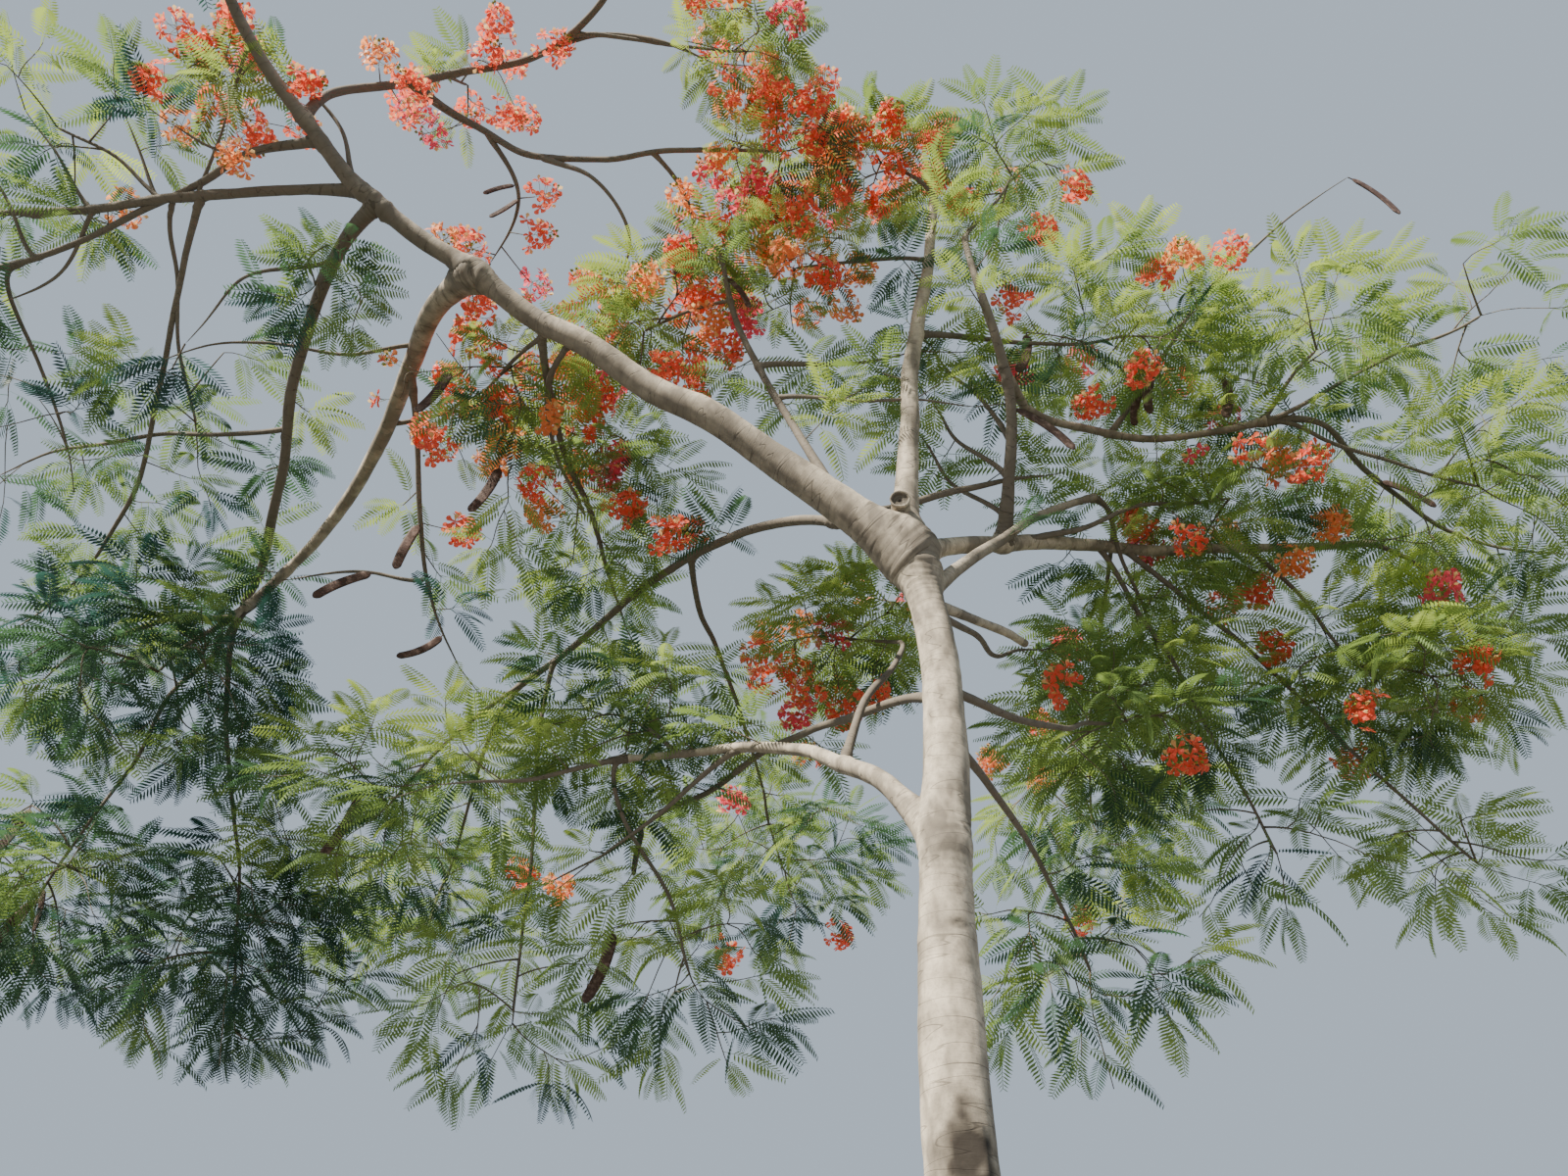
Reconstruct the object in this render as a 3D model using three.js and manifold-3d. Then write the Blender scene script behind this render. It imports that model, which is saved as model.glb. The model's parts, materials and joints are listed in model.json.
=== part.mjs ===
// A flame tree in leaf, flower and pod: a leaning trunk, its boughs, and masses of leaf and blossom.
// Millimetres, +Z up, with the origin at the flat cut under the trunk. Headings are in degrees from +X
// towards +Y, and pitches in degrees above the level.
import * as THREE from "three";
import Module from "manifold-3d";

const wasm = await Module();
wasm.setup();

// Trunk: an even taper from the ground to the waist, a swell into the fork, and a ridged root flare.
const FORK_HEIGHT = 6350;
const GROUND_DIAMETER = 394;
const TAPER = 0.036;
const FORK_SWELL = 46;
const FORK_SWELL_RISE = 260;
const FLARE = 95;
const FLARE_FADE = 210;
const ROOT_RIDGES = 5;
const ROOT_RIDGE_DEPTH = 0.2;
const BOW = 140;
const BOW_START = 2900;
const BOW_RISE = 3500;
const TRUNK_SIDES = 20;
const TRUNK_RINGS = 14;
const TRUNK_STEPS = 24;
const RING_CROWDING = 1.6;

// Boughs: sides by thickness, the swollen collar where one leaves its parent, and the gap at its seat.
const THICK = 110;
const THICK_SIDES = 8;
const THIN_SIDES = 6;
const BOUGH_STEP = 450;
const COLLAR_SWELL = 0.3;
const COLLAR_FADE = 1.6;
const SEAT_GAP = 0.4;

// Masses: a stem, twigs round its last stretch, and leaves, blossom and pods fused on.
const FLATNESS = 0.72;
const STEM_STEP = 500;
const STEM_SIDES = 4;
const STEM_TIP = 30;
const TWIG_SIDES = 3;
const TWIG_STEPS = 1;
const TWIG_BASE = 30;
const TWIG_TIP = 24;
const TWIG_REACH = 0.45;
const TWIG_SHARE = [0.8, 1.1];
const TWIG_PITCH = [-25, 65];
const TWIG_ZONE = 0.7;
const TWIG_DROOP = 25;
const GOLDEN_ANGLE = 137.5;

// Leaves: each blade stands for a spray, and is tried at three lengths before it is left out.
const LEAF_REACH = 0.72;
const LEAF_SHARE = [0.8, 1];
const LEAF_TRIES = [1, 0.8, 0.6];
const LEAF_WIDTH = 0.46;
const LEAF_WIDEST = 0.42;
const LEAF_THICKNESS = 9;
const LEAF_FAN = 75;
const LEAF_TURN = [-15, 15];
const LEAF_PITCH = [-35, 20];
const LAST_LEAF = 0.97;
const LEAF_SPACING = 0.16;
const LEAF_OVERLAP = 2000;

// Flower clusters above the twigs' tips, and pods that hang below them.
const BLOOM_RADIUS = 130;
const BLOOM_RISE = 0.5;
const POD_LENGTH = 480;
const POD_WIDTH = 54;
const POD_FLATNESS = 0.35;
const POD_PITCH = [-88, -62];
const POD_OUTLINE = [0.3, 1, 0.9, 0.25];

// Room kept between masses and round limbs, and how closely a piece is tested for it.
const CELL_GAP = 6;
const LIMB_GAP = 28;
const SAMPLE_STEP = 60;
const SMOOTHING = 2;
const FIRST_SEED = 707;

const BARK = new THREE.MeshStandardMaterial({ color: 0xb3a48e, roughness: 0.85, metalness: 0 });
const LEAF = new THREE.MeshStandardMaterial({ color: 0x6c9038, roughness: 0.6, metalness: 0 });
const PETAL = new THREE.MeshStandardMaterial({ color: 0xdf4a26, roughness: 0.55, metalness: 0 });

const LEAFY = { twigs: 4, leaves: 2, blooms: 0, material: LEAF };
const FLOWERING = { twigs: 3, leaves: 1, blooms: 1, material: PETAL };

// Each bough: name, parent, its place along the parent, length, heading and pitch at start, middle and
// end, and its diameter at both ends.
const BOUGHS = [
  ["left_main", "trunk", 0.975, 6180, [199, 195, 258], [41, 32, 30], 227, 60],
  ["leader", "trunk", 0.99, 3190, [340, 312, 295], [90, 77, 73], 150, 62],
  ["right_main", "trunk", 0.98, 4120, [45, 20, -14], [46, 16, -5], 120, 50],
  ["right_riser", "right_main", 0.27, 2380, [256, 260, 140], [43, 58, 100], 88, 40],
  ["right_arch", "right_riser", 0.47, 2260, [75, 10, -20], [5, 5, -4], 62, 46],
  ["right_low", "trunk", 0.93, 2100, [29, 26, 15], [56, 45, 36], 86, 46],
  ["left_arching", "left_main", 0.56, 3400, [136, 124, 183], [10, -18, -60], 154, 56],
  ["left_back", "left_main", 0.69, 3440, [135, 113, 126], [-38, -17, 5], 90, 58],
  ["left_far", "left_main", 0.71, 2500, [174, 173, 172], [6, 6, 5], 72, 56],
  ["left_upper", "left_main", 0.78, 2400, [160, 160, 175], [2, -8, -19], 58, 40],
  ["top_right", "left_main", 0.81, 3250, [41, -8, -80], [80, 20, -35], 66, 46],
  ["top_inner", "top_right", 0.35, 2440, [53, -3, 4], [-30, -9, 6], 54, 36],
  ["centre_riser", "left_main", 0.09, 2450, [111, 195, 255], [80, 63, 61], 64, 36],
  ["low_left", "trunk", 0.68, 2790, [152, 132, 190], [62, 33, -11], 118, 38],
  ["back_long", "trunk", 0.99, 3750, [165, 135, 150], [52, 7, -13], 70, 44],
  ["near_right", "top_right", 0.98, 2700, [305, 325, 340], [-25, -10, -5], 42, 34],
  ["stub", "trunk", 0.925, 1250, [48, 50, 52], [23, 21, 19], 56, 50],
];

// Each mass: name, the bough or trunk that carries its stem, the stem's place along it, the stem's
// length, heading and pitch at both ends, its diameter, the reach round its tip, its kind and pods.
const MASSES = [
  ["leaves_far_left_top", "left_far", 0.6, 900, [210, 200], [35, 20], 34, 1000, LEAFY, 0],
  ["blossom_left_top", "left_main", 0.9, 400, [125, 125], [5, -10], 30, 650, FLOWERING, 0],
  ["blossom_top_inner", "top_right", 0.42, 350, [80, 80], [70, 60], 30, 600, FLOWERING, 0],
  ["blossom_top_right", "top_right", 0.72, 1350, [5, -10], [-12, -25], 34, 600, FLOWERING, 0],
  ["blossom_top_centre", "top_inner", 0.98, 400, [10, 10], [20, 10], 30, 650, FLOWERING, 0],
  ["blossom_centre", "centre_riser", 0.98, 350, [120, 120], [80, 70], 30, 600, FLOWERING, 1],
  ["blossom_leader_left", "leader", 0.8, 950, [180, 165], [10, 5], 36, 650, FLOWERING, 0],
  ["blossom_crown_top", "leader", 0.98, 750, [175, 175], [70, 55], 40, 650, FLOWERING, 0],
  ["leaves_crown_top", "right_riser", 0.98, 1100, [10, 0], [60, 70], 34, 850, LEAFY, 0],
  ["blossom_main", "centre_riser", 0.85, 700, [155, 155], [10, 0], 30, 750, FLOWERING, 0],
  ["blossom_left", "left_main", 0.45, 800, [135, 135], [15, 0], 44, 800, FLOWERING, 1],
  ["leaves_left_inner", "left_main", 0.42, 1350, [125, 60], [5, -30], 46, 1000, LEAFY, 1],
  ["leaves_rosette", "left_back", 0.15, 300, [225, 225], [-60, -75], 30, 600, LEAFY, 0],
  ["leaves_left_hanging", "left_upper", 0.5, 1450, [100, 75], [-35, -40], 34, 900, LEAFY, 0],
  ["leaves_left_outer", "left_upper", 0.98, 1300, [85, 85], [-20, -35], 34, 1100, LEAFY, 0],
  ["leaves_left_shoulder", "left_arching", 0.98, 650, [180, 180], [-50, -60], 44, 1100, LEAFY, 0],
  ["leaves_left_low_outer", "left_back", 0.98, 2500, [145, 145], [-55, -65], 46, 1100, LEAFY, 1],
  ["leaves_left_low", "left_arching", 0.95, 2450, [85, 85], [-50, -65], 46, 1100, LEAFY, 0],
  ["leaves_left_middle", "back_long", 0.97, 1400, [190, 190], [-50, -65], 38, 1150, LEAFY, 1],
  ["leaves_front_spray", "low_left", 0.85, 650, [155, 155], [50, 35], 34, 900, LEAFY, 0],
  ["leaves_low_hanging", "back_long", 0.9, 2450, [95, 95], [-65, -80], 38, 950, LEAFY, 0],
  ["leaves_low_centre", "low_left", 0.98, 1450, [70, 70], [-30, -45], 34, 1000, LEAFY, 1],
  ["blossom_behind_fork", "low_left", 0.34, 2550, [5, 150], [70, 30], 56, 800, FLOWERING, 0],
  ["blossom_right_top", "leader", 0.58, 1650, [25, -5], [15, 15], 50, 1000, FLOWERING, 1],
  ["leaves_right_upper", "right_arch", 0.95, 650, [315, 315], [35, 20], 36, 1000, LEAFY, 1],
  ["leaves_right_outer_top", "right_arch", 0.98, 1550, [335, 335], [20, 5], 34, 900, LEAFY, 0],
  ["leaves_right_outer", "right_arch", 0.99, 1500, [20, 0], [-15, -15], 36, 1100, LEAFY, 0],
  ["blossom_right_inner", "right_main", 0.3, 1700, [5, 5], [25, 15], 50, 900, FLOWERING, 0],
  ["leaves_right_middle", "right_low", 0.98, 1150, [60, 60], [-15, -35], 38, 1000, LEAFY, 0],
  ["leaves_right_back", "trunk", 0.83, 2200, [40, 50], [5, 40], 54, 950, LEAFY, 0],
  ["blossom_right", "right_main", 0.78, 1250, [10, 15], [-55, -65], 38, 950, FLOWERING, 0],
  ["leaves_right_far", "right_main", 0.98, 1200, [25, 25], [-30, -45], 38, 1000, LEAFY, 0],
  ["leaves_right_low_outer", "right_main", 0.55, 2950, [25, 20], [-40, -45], 42, 800, LEAFY, 0],
  ["leaves_right_low_middle", "right_main", 0.5, 2300, [45, 45], [-45, -60], 40, 850, LEAFY, 0],
  ["leaves_right_hanging", "trunk", 0.79, 2000, [60, 60], [0, -30], 54, 950, LEAFY, 0],
  ["leaves_near_centre", "top_right", 0.95, 2500, [262, 262], [-20, -45], 36, 1250, LEAFY, 0],
  ["leaves_near_right", "near_right", 0.85, 800, [260, 260], [-30, -50], 30, 1200, LEAFY, 0],
  ["leaves_near_far_right", "near_right", 0.98, 2500, [352, 352], [-10, -35], 32, 1200, LEAFY, 0],
  ["leaves_near_left", "left_main", 0.98, 2200, [235, 235], [-20, -40], 44, 1250, LEAFY, 0],
  ["leaves_far_left", "back_long", 0.98, 2350, [115, 115], [-10, -25], 38, 1200, LEAFY, 0],
  ["leaves_far_centre", "back_long", 0.5, 3350, [80, 80], [0, -15], 46, 1200, LEAFY, 0],
  ["leaves_far_right", "right_low", 0.95, 3300, [80, 80], [0, -15], 40, 1200, LEAFY, 0],
];

const radians = THREE.MathUtils.degToRad;
const lerp = THREE.MathUtils.lerp;
const vector = (x, y, z) => new THREE.Vector3(x, y, z);
const UP = vector(0, 0, 1);

// Seeded draws between 0 and 1, from a 32-bit congruential generator.
function generator(seed) {
  let state = seed;
  return () => {
    state = (Math.imul(1664525, state) + 1013904223) >>> 0;
    return state / 2 ** 32;
  };
}

// The value at t on the straight line or parabola through two or three values spaced evenly from 0 to 1.
function through(values, t) {
  if (values.length === 2) return lerp(values[0], values[1], t);
  const [a, b, c] = values;
  return a * (2 * t - 1) * (t - 1) + b * 4 * t * (1 - t) + c * t * (2 * t - 1);
}

function direction(heading, pitch) {
  const level = Math.cos(radians(pitch));
  return vector(
    Math.cos(radians(heading)) * level,
    Math.sin(radians(heading)) * level,
    Math.sin(radians(pitch)),
  );
}

// Points in even steps along a run that turns and climbs as its heading and pitch say.
function run(start, length, heading, pitch, steps) {
  const points = [start.clone()];
  for (let i = 0; i < steps; i++) {
    const t = (i + 0.5) / steps;
    const step = direction(through(heading, t), through(pitch, t)).multiplyScalar(length / steps);
    points.push(points[i].clone().add(step));
  }
  return points;
}

// The point at a share of the way along a limb, counted in its even steps.
function placeOn(limb, share) {
  const k = share * (limb.points.length - 1);
  const i = Math.min(Math.floor(k), limb.points.length - 2);
  return limb.points[i].clone().lerp(limb.points[i + 1], k - i);
}

// A closed solid from rings of the same number of points, with a flat face at both ends.
function loft(rings) {
  const sides = rings[0].length;
  const triangles = [];
  for (let r = 0; r + 1 < rings.length; r++) {
    for (let s = 0; s < sides; s++) {
      const a = r * sides + s;
      const b = r * sides + ((s + 1) % sides);
      triangles.push(a, b, b + sides, a, b + sides, a + sides);
    }
  }
  const last = (rings.length - 1) * sides;
  for (let s = 1; s + 1 < sides; s++) {
    triangles.push(0, s + 1, s, last, last + s, last + s + 1);
  }
  return solid(rings.flat(), triangles);
}

function solid(points, triangles) {
  return new wasm.Manifold(
    new wasm.Mesh({
      numProp: 3,
      vertProperties: new Float32Array(points.flatMap((p) => p.toArray())),
      triVerts: new Uint32Array(triangles),
    }),
  );
}

// A tapering limb round a line of points, its section turned as little as it can be from ring to ring.
// A section flatter than 1 is thin across its second axis.
function tube(points, radii, sides, flatness = 1) {
  const along = points.map((p, i) => {
    const before = points[Math.max(i - 1, 0)];
    return points[Math.min(i + 1, points.length - 1)].clone().sub(before).normalize();
  });
  let side = Math.abs(along[0].z) > 0.95 ? vector(1, 0, 0) : UP.clone().cross(along[0]);
  const rings = points.map((p, i) => {
    side = side.sub(along[i].clone().multiplyScalar(side.dot(along[i]))).normalize();
    const other = along[i].clone().cross(side);
    return Array.from({ length: sides }, (_, s) => {
      const turn = (2 * Math.PI * s) / sides;
      return p
        .clone()
        .addScaledVector(side, radii[i] * Math.cos(turn))
        .addScaledVector(other, radii[i] * flatness * Math.sin(turn));
    });
  });
  return loft(rings);
}

// A bough or stem with the given room round it, used to cut and to seat what leaves it.
function limbSolid(limb, room) {
  if (limb.name === "trunk") return trunkSolid(room);
  const { points, radii, sides } = limb;
  const first = points[0].clone().sub(points[1]).setLength(room);
  const last = points.at(-1).clone().sub(points.at(-2)).setLength(room);
  const line = points.map((p) => p.clone());
  if (room > 0) {
    line[0].add(first);
    line.at(-1).add(last);
  }
  const grown = radii.map((r) => r + room / Math.cos(Math.PI / sides));
  return tube(line, grown, sides);
}

// The trunk's centre line bows to one side between its straight foot and its fork.
function trunkCentre(z) {
  const s = Math.max(0, (z - BOW_START) / BOW_RISE);
  return vector(BOW * Math.sin(Math.PI * s * s), 0, z);
}

function trunkRadius(z) {
  const swell = FORK_SWELL * Math.exp((z - FORK_HEIGHT) / FORK_SWELL_RISE);
  return (GROUND_DIAMETER - TAPER * z) / 2 + swell + FLARE * Math.exp(-z / FLARE_FADE);
}

function trunkHeights() {
  const crowded = (i) => FORK_HEIGHT * (i / TRUNK_RINGS) ** RING_CROWDING;
  return Array.from({ length: TRUNK_RINGS + 1 }, (_, i) => crowded(i));
}

function trunkSolid(room) {
  const rings = trunkHeights().map((z) => {
    const centre = trunkCentre(z);
    const top = z === FORK_HEIGHT ? room : 0;
    return Array.from({ length: TRUNK_SIDES }, (_, s) => {
      const turn = (2 * Math.PI * s) / TRUNK_SIDES;
      const ridge = 1 + ROOT_RIDGE_DEPTH * Math.cos(ROOT_RIDGES * turn) * Math.exp(-z / FLARE_FADE);
      const r = trunkRadius(z) * ridge + room;
      return vector(centre.x + r * Math.cos(turn), centre.y + r * Math.sin(turn), z + top);
    });
  });
  return loft(rings);
}

// The largest closed body of a solid: loose scraps and sealed hollows are left out.
function mainBody(made) {
  const bodies = made.decompose();
  return bodies.reduce((best, body) => (body.volume() > best.volume() ? body : best));
}

const limbs = new Map();
const trunkSteps = Array.from({ length: TRUNK_STEPS + 1 }, (_, i) => (FORK_HEIGHT * i) / TRUNK_STEPS);
limbs.set("trunk", {
  name: "trunk",
  points: trunkSteps.map(trunkCentre),
  radii: trunkSteps.map(trunkRadius),
});
for (const [name, from, at, length, heading, pitch, base, tip] of BOUGHS) {
  const steps = Math.round(length / BOUGH_STEP);
  const points = run(placeOn(limbs.get(from), at), length, heading, pitch, steps);
  const radii = points.map((_, i) => {
    const collar = COLLAR_SWELL * Math.exp((-i * length) / steps / (COLLAR_FADE * base));
    return (lerp(base, tip, i / steps) / 2) * (1 + collar);
  });
  limbs.set(name, { name, points, radii, sides: base > THICK ? THICK_SIDES : THIN_SIDES });
}

const stems = MASSES.map(([name, from, at, length, heading, pitch, base]) => {
  const steps = Math.max(2, Math.round(length / STEM_STEP));
  const points = run(placeOn(limbs.get(from), at), length, heading, pitch, steps);
  const radii = points.map((_, i) => lerp(base, STEM_TIP, i / steps) / 2);
  return { name, points, radii, sides: STEM_SIDES };
});

// How far a point is from the nearest surface of the limbs and of the other masses' stems.
function clearance(point, ownName) {
  let least = Infinity;
  const line = new THREE.Line3();
  const foot = vector(0, 0, 0);
  for (const limb of [...limbs.values(), ...stems]) {
    if (limb.name === ownName) continue;
    for (let i = 0; i + 1 < limb.points.length; i++) {
      line.set(limb.points[i], limb.points[i + 1]);
      const t = line.closestPointToPointParameter(point, true);
      line.at(t, foot);
      least = Math.min(least, foot.distanceTo(point) - lerp(limb.radii[i], limb.radii[i + 1], t));
    }
  }
  return least;
}

// A mass's own space: a flattened ball round its stem's tip, cut by a plane towards each other mass.
const centres = stems.map((stem) => stem.points.at(-1));
const spreads = MASSES.map((mass) => mass[7]);

function inSpace(point, m) {
  const offset = point.clone().sub(centres[m]);
  const level = Math.hypot(offset.x, offset.y) / spreads[m];
  const upright = offset.z / (spreads[m] * FLATNESS);
  if (Math.hypot(level, upright) > 1) return false;
  return centres.every((other, n) => {
    if (n === m) return true;
    const toOther = other.clone().sub(centres[m]);
    const distance = toOther.length();
    const share = spreads[m] / (spreads[m] + spreads[n]);
    return offset.dot(toOther) / distance < distance * share - CELL_GAP;
  });
}

const free = (points, m) =>
  points.every((p) => inSpace(p, m)) &&
  points.every((p) => clearance(p, stems[m].name) > LIMB_GAP);

// Points spaced closely along a line of points, for testing what it passes.
function closePoints(points) {
  const close = [points[0]];
  for (let i = 0; i + 1 < points.length; i++) {
    const count = Math.ceil(points[i].distanceTo(points[i + 1]) / SAMPLE_STEP);
    for (let k = 1; k <= count; k++) {
      close.push(points[i].clone().lerp(points[i + 1], k / count));
    }
  }
  return close;
}

// A flat blade of eight faces: a midrib of even thickness from root to tip, and a point at each side.
function leafSolid(root, along, length) {
  const across = vector(along.y, -along.x, 0).normalize();
  const normal = across.clone().cross(along);
  const tip = root.clone().addScaledVector(along, length);
  const middle = root.clone().addScaledVector(along, length * LEAF_WIDEST);
  const sides = [-1, 1].map((k) => middle.clone().addScaledVector(across, (k * length * LEAF_WIDTH) / 2));
  const rib = [
    root.clone().addScaledVector(normal, LEAF_THICKNESS / 2),
    root.clone().addScaledVector(normal, -LEAF_THICKNESS / 2),
    tip.clone().addScaledVector(normal, -LEAF_THICKNESS / 2),
    tip.clone().addScaledVector(normal, LEAF_THICKNESS / 2),
  ];
  const edges = sides.flatMap((side) => closePoints([root, side, tip]).slice(1));
  return {
    made: solid([...sides, ...rib], octahedron()),
    points: [...closePoints([root, tip]).slice(1), ...edges],
  };
}

// Triangles of a form with points 0 and 1 at its ends and four corners round its middle.
function octahedron() {
  return [0, 1, 2, 3].flatMap((k) => {
    const next = ((k + 1) % 4) + 2;
    return [0, next, k + 2, 1, k + 2, next];
  });
}

// A cluster of flowers, drawn as one faceted ball on its twig.
function bloomSolid(centre) {
  const at = (x, y, z) => centre.clone().add(vector(x, y, z).multiplyScalar(BLOOM_RADIUS));
  const points = [at(0, 0, -1), at(0, 0, 1), at(1, 0, 0), at(0, 1, 0), at(-1, 0, 0), at(0, -1, 0)];
  return { made: solid(points, octahedron()), points };
}

// A long flat pod that hangs from a twig and curves a little.
function podSolid(start, heading) {
  const points = run(start, POD_LENGTH, [heading, heading], POD_PITCH, POD_OUTLINE.length - 1);
  const radii = POD_OUTLINE.map((share) => (share * POD_WIDTH) / 2);
  return { made: tube(points, radii, 4, POD_FLATNESS), points: closePoints(points) };
}

// Twigs leave the stem's last stretch by the golden angle, and leaves fan out near each twig's tip.
function massSolid(m) {
  const [, , , length, , , , spread, kind, pods] = MASSES[m];
  const stem = stems[m];
  const random = generator(FIRST_SEED + m);
  const draw = ([low, high]) => lerp(low, high, random());
  const zone = Math.min(TWIG_ZONE, (TWIG_REACH * spread) / length);
  const firstHeading = draw([0, 360]);
  let fused = limbSolid(stem, 0);
  for (let i = 0; i < kind.twigs; i++) {
    const start = placeOn(stem, 1 - zone * (1 - (i + 1) / kind.twigs));
    const heading = firstHeading + i * GOLDEN_ANGLE;
    const pitch = draw(TWIG_PITCH);
    const reach = TWIG_REACH * spread * draw(TWIG_SHARE);
    const points = run(start, reach, [heading, heading], [pitch, pitch - TWIG_DROOP], TWIG_STEPS);
    if (!free(closePoints(points).slice(1), m)) continue;
    const radii = points.map((_, k) => lerp(TWIG_BASE, TWIG_TIP, k / TWIG_STEPS) / 2);
    fused = fused.add(tube(points, radii, TWIG_SIDES));
    for (let k = 0; k < kind.leaves; k++) {
      const fan = LEAF_FAN * (k - (kind.leaves - 1) / 2) + draw(LEAF_TURN);
      const along = direction(heading + fan, pitch - TWIG_DROOP + draw(LEAF_PITCH));
      const size = LEAF_REACH * spread * draw(LEAF_SHARE);
      const root = placeOn({ points }, LAST_LEAF - LEAF_SPACING * k);
      const tries = LEAF_TRIES.map((share) => leafSolid(root, along, size * share));
      const fits = (leaf) => free(leaf.points, m) && fused.intersect(leaf.made).volume() < LEAF_OVERLAP;
      const leaf = tries.find(fits);
      if (leaf) fused = fused.add(leaf.made);
    }
    for (let k = 0; k < kind.blooms; k++) {
      const bloom = bloomSolid(points.at(-1).clone().addScaledVector(UP, BLOOM_RADIUS * BLOOM_RISE));
      if (free(bloom.points, m)) fused = fused.add(bloom.made);
    }
    if (i < pods) {
      const pod = podSolid(points.at(-1), heading);
      if (free(pod.points.slice(1), m)) fused = fused.add(pod.made);
    }
  }
  fused = fused.simplify(SMOOTHING);
  for (const limb of limbs.values()) {
    fused = fused.subtract(limbSolid(limb, SEAT_GAP));
  }
  return mainBody(fused);
}

function mesh(name, made, material) {
  const { vertProperties, triVerts } = made.getMesh();
  const geometry = new THREE.BufferGeometry();
  geometry.setAttribute("position", new THREE.BufferAttribute(vertProperties, 3));
  geometry.setIndex(new THREE.BufferAttribute(triVerts, 1));
  const result = new THREE.Mesh(geometry, material);
  result.name = name;
  return result;
}

const group = new THREE.Group();
const placed = [];
for (const limb of limbs.values()) {
  let made = limbSolid(limb, 0);
  for (const other of placed) {
    made = made.subtract(limbSolid(other, SEAT_GAP));
  }
  placed.push(limb);
  group.add(mesh(limb.name, mainBody(made), BARK));
}
MASSES.forEach(([name, , , , , , , , kind], m) => {
  group.add(mesh(name, massSolid(m), kind.material));
});

export default group;
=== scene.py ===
"""A flame tree in leaf, blossom and pod: bark, twigs, feathery leaves, flowers and pods round its solids."""

import functools
import itertools
import json
import math
from collections import namedtuple

import bpy
import numpy as np
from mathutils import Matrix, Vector

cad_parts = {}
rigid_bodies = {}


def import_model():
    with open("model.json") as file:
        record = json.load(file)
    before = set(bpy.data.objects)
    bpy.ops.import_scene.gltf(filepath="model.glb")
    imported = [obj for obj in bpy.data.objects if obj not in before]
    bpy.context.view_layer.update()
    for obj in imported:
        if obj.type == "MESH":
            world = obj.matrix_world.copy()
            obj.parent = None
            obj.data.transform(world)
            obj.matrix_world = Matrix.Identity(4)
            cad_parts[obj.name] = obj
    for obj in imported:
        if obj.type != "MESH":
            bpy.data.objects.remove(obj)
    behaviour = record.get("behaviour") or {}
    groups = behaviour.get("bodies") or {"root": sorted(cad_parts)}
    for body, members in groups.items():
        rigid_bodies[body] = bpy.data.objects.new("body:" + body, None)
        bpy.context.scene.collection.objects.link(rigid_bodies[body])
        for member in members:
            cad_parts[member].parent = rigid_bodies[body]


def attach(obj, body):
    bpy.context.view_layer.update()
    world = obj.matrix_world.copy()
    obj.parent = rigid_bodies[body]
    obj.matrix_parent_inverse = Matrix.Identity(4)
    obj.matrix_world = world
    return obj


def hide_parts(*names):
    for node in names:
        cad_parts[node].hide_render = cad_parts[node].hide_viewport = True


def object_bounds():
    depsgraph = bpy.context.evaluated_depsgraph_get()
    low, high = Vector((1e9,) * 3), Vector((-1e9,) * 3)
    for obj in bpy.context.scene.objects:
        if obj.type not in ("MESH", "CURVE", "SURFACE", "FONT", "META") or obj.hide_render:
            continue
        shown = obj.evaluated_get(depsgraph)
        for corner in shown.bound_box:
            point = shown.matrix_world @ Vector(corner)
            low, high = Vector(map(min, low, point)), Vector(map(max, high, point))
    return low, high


bl_info = {
    "name": "Flame tree",
    "version": (1, 0, 0),
    "blender": (4, 5, 0),
    "location": "3D View > Sidebar > Flame tree",
    "description": "Grows a flame tree's bark, twigs, leaves, blossom and pods",
    "category": "Add Mesh",
}

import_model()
CAD_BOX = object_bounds()
LOW, HIGH = (np.array(corner) for corner in CAD_BOX)
MM = 0.001
BODY = "root"

# Trunk, in metres: an even taper, a swell into the fork and a ridged root flare.
FORK_HEIGHT = 6.35
GROUND_DIAMETER = 0.394
TAPER = 0.036
FORK_SWELL = 0.046
FORK_SWELL_RISE = 0.26
FLARE = 0.095
FLARE_FADE = 0.21
ROOT_RIDGES = 5
ROOT_RIDGE_DEPTH = 0.2
BOW = 0.14
BOW_START = 2.9
BOW_RISE = 3.5
TRUNK_STEPS = 24

# Boughs and stems.
BOUGH_STEP = 0.45
STEM_STEP = 0.5
COLLAR_SWELL = 0.3
COLLAR_FADE = 1.6
STEM_TIP = 0.03
STEM_THINNING = 0.6
END_THINNING = 0.7
THINNING_FROM = 0.6
THINNING_CURVE = 1.3
FOOT_DEPTH = 0.5
FOOT_RINGS = 5

# How far limbs sway, slim ones more, and how far one first goes on as its parent does.
SWAY = 0.03
SWAY_LENGTH = 0.5
SWAY_SEED = 31
FULL_SWAY_REACH = 1.5
SLIM = 0.06
SLIM_SWAY = 0.055
CARRY_ON = 0.8
CARRY_ASIDE = 0.25
PARENT_END = 0.9
PARENT_WAY = (0.06, 0.02)

# Relief of the bark: swellings, lumps and ovalness are shares of the radius.
SWELLING = 0.05
LUMP = 0.03
OVAL = 0.02
FINE_RELIEF = 0.35
WRINKLE_FADE = 1.7
FULL_RELIEF_RADIUS = 0.06
PATTERN_RADIUS = 0.12
FILLET = 0.8
SIBLING_FILLET = 0.62
CHILD_STEPS = 3
STOUT = 0.1
FOLDED = 0.05
SEAM_WIDTH = 0.009
FOLD_FADE = 0.75
CALLUS = 0.006
HOLLOW = 0.005
DOME = 0.1

# How closely skins are drawn: the spacing of their rings and their sides.
TRUNK_GRID = (0.0105, 64)
BRANCH_GRID = (0.024, 10)
RING_SHARE = 0.1
RING_SPACING = (0.0085, 0.02)
SIDES_PER_METRE = 230
BOUGH_SIDES = (10, 44)

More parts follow.
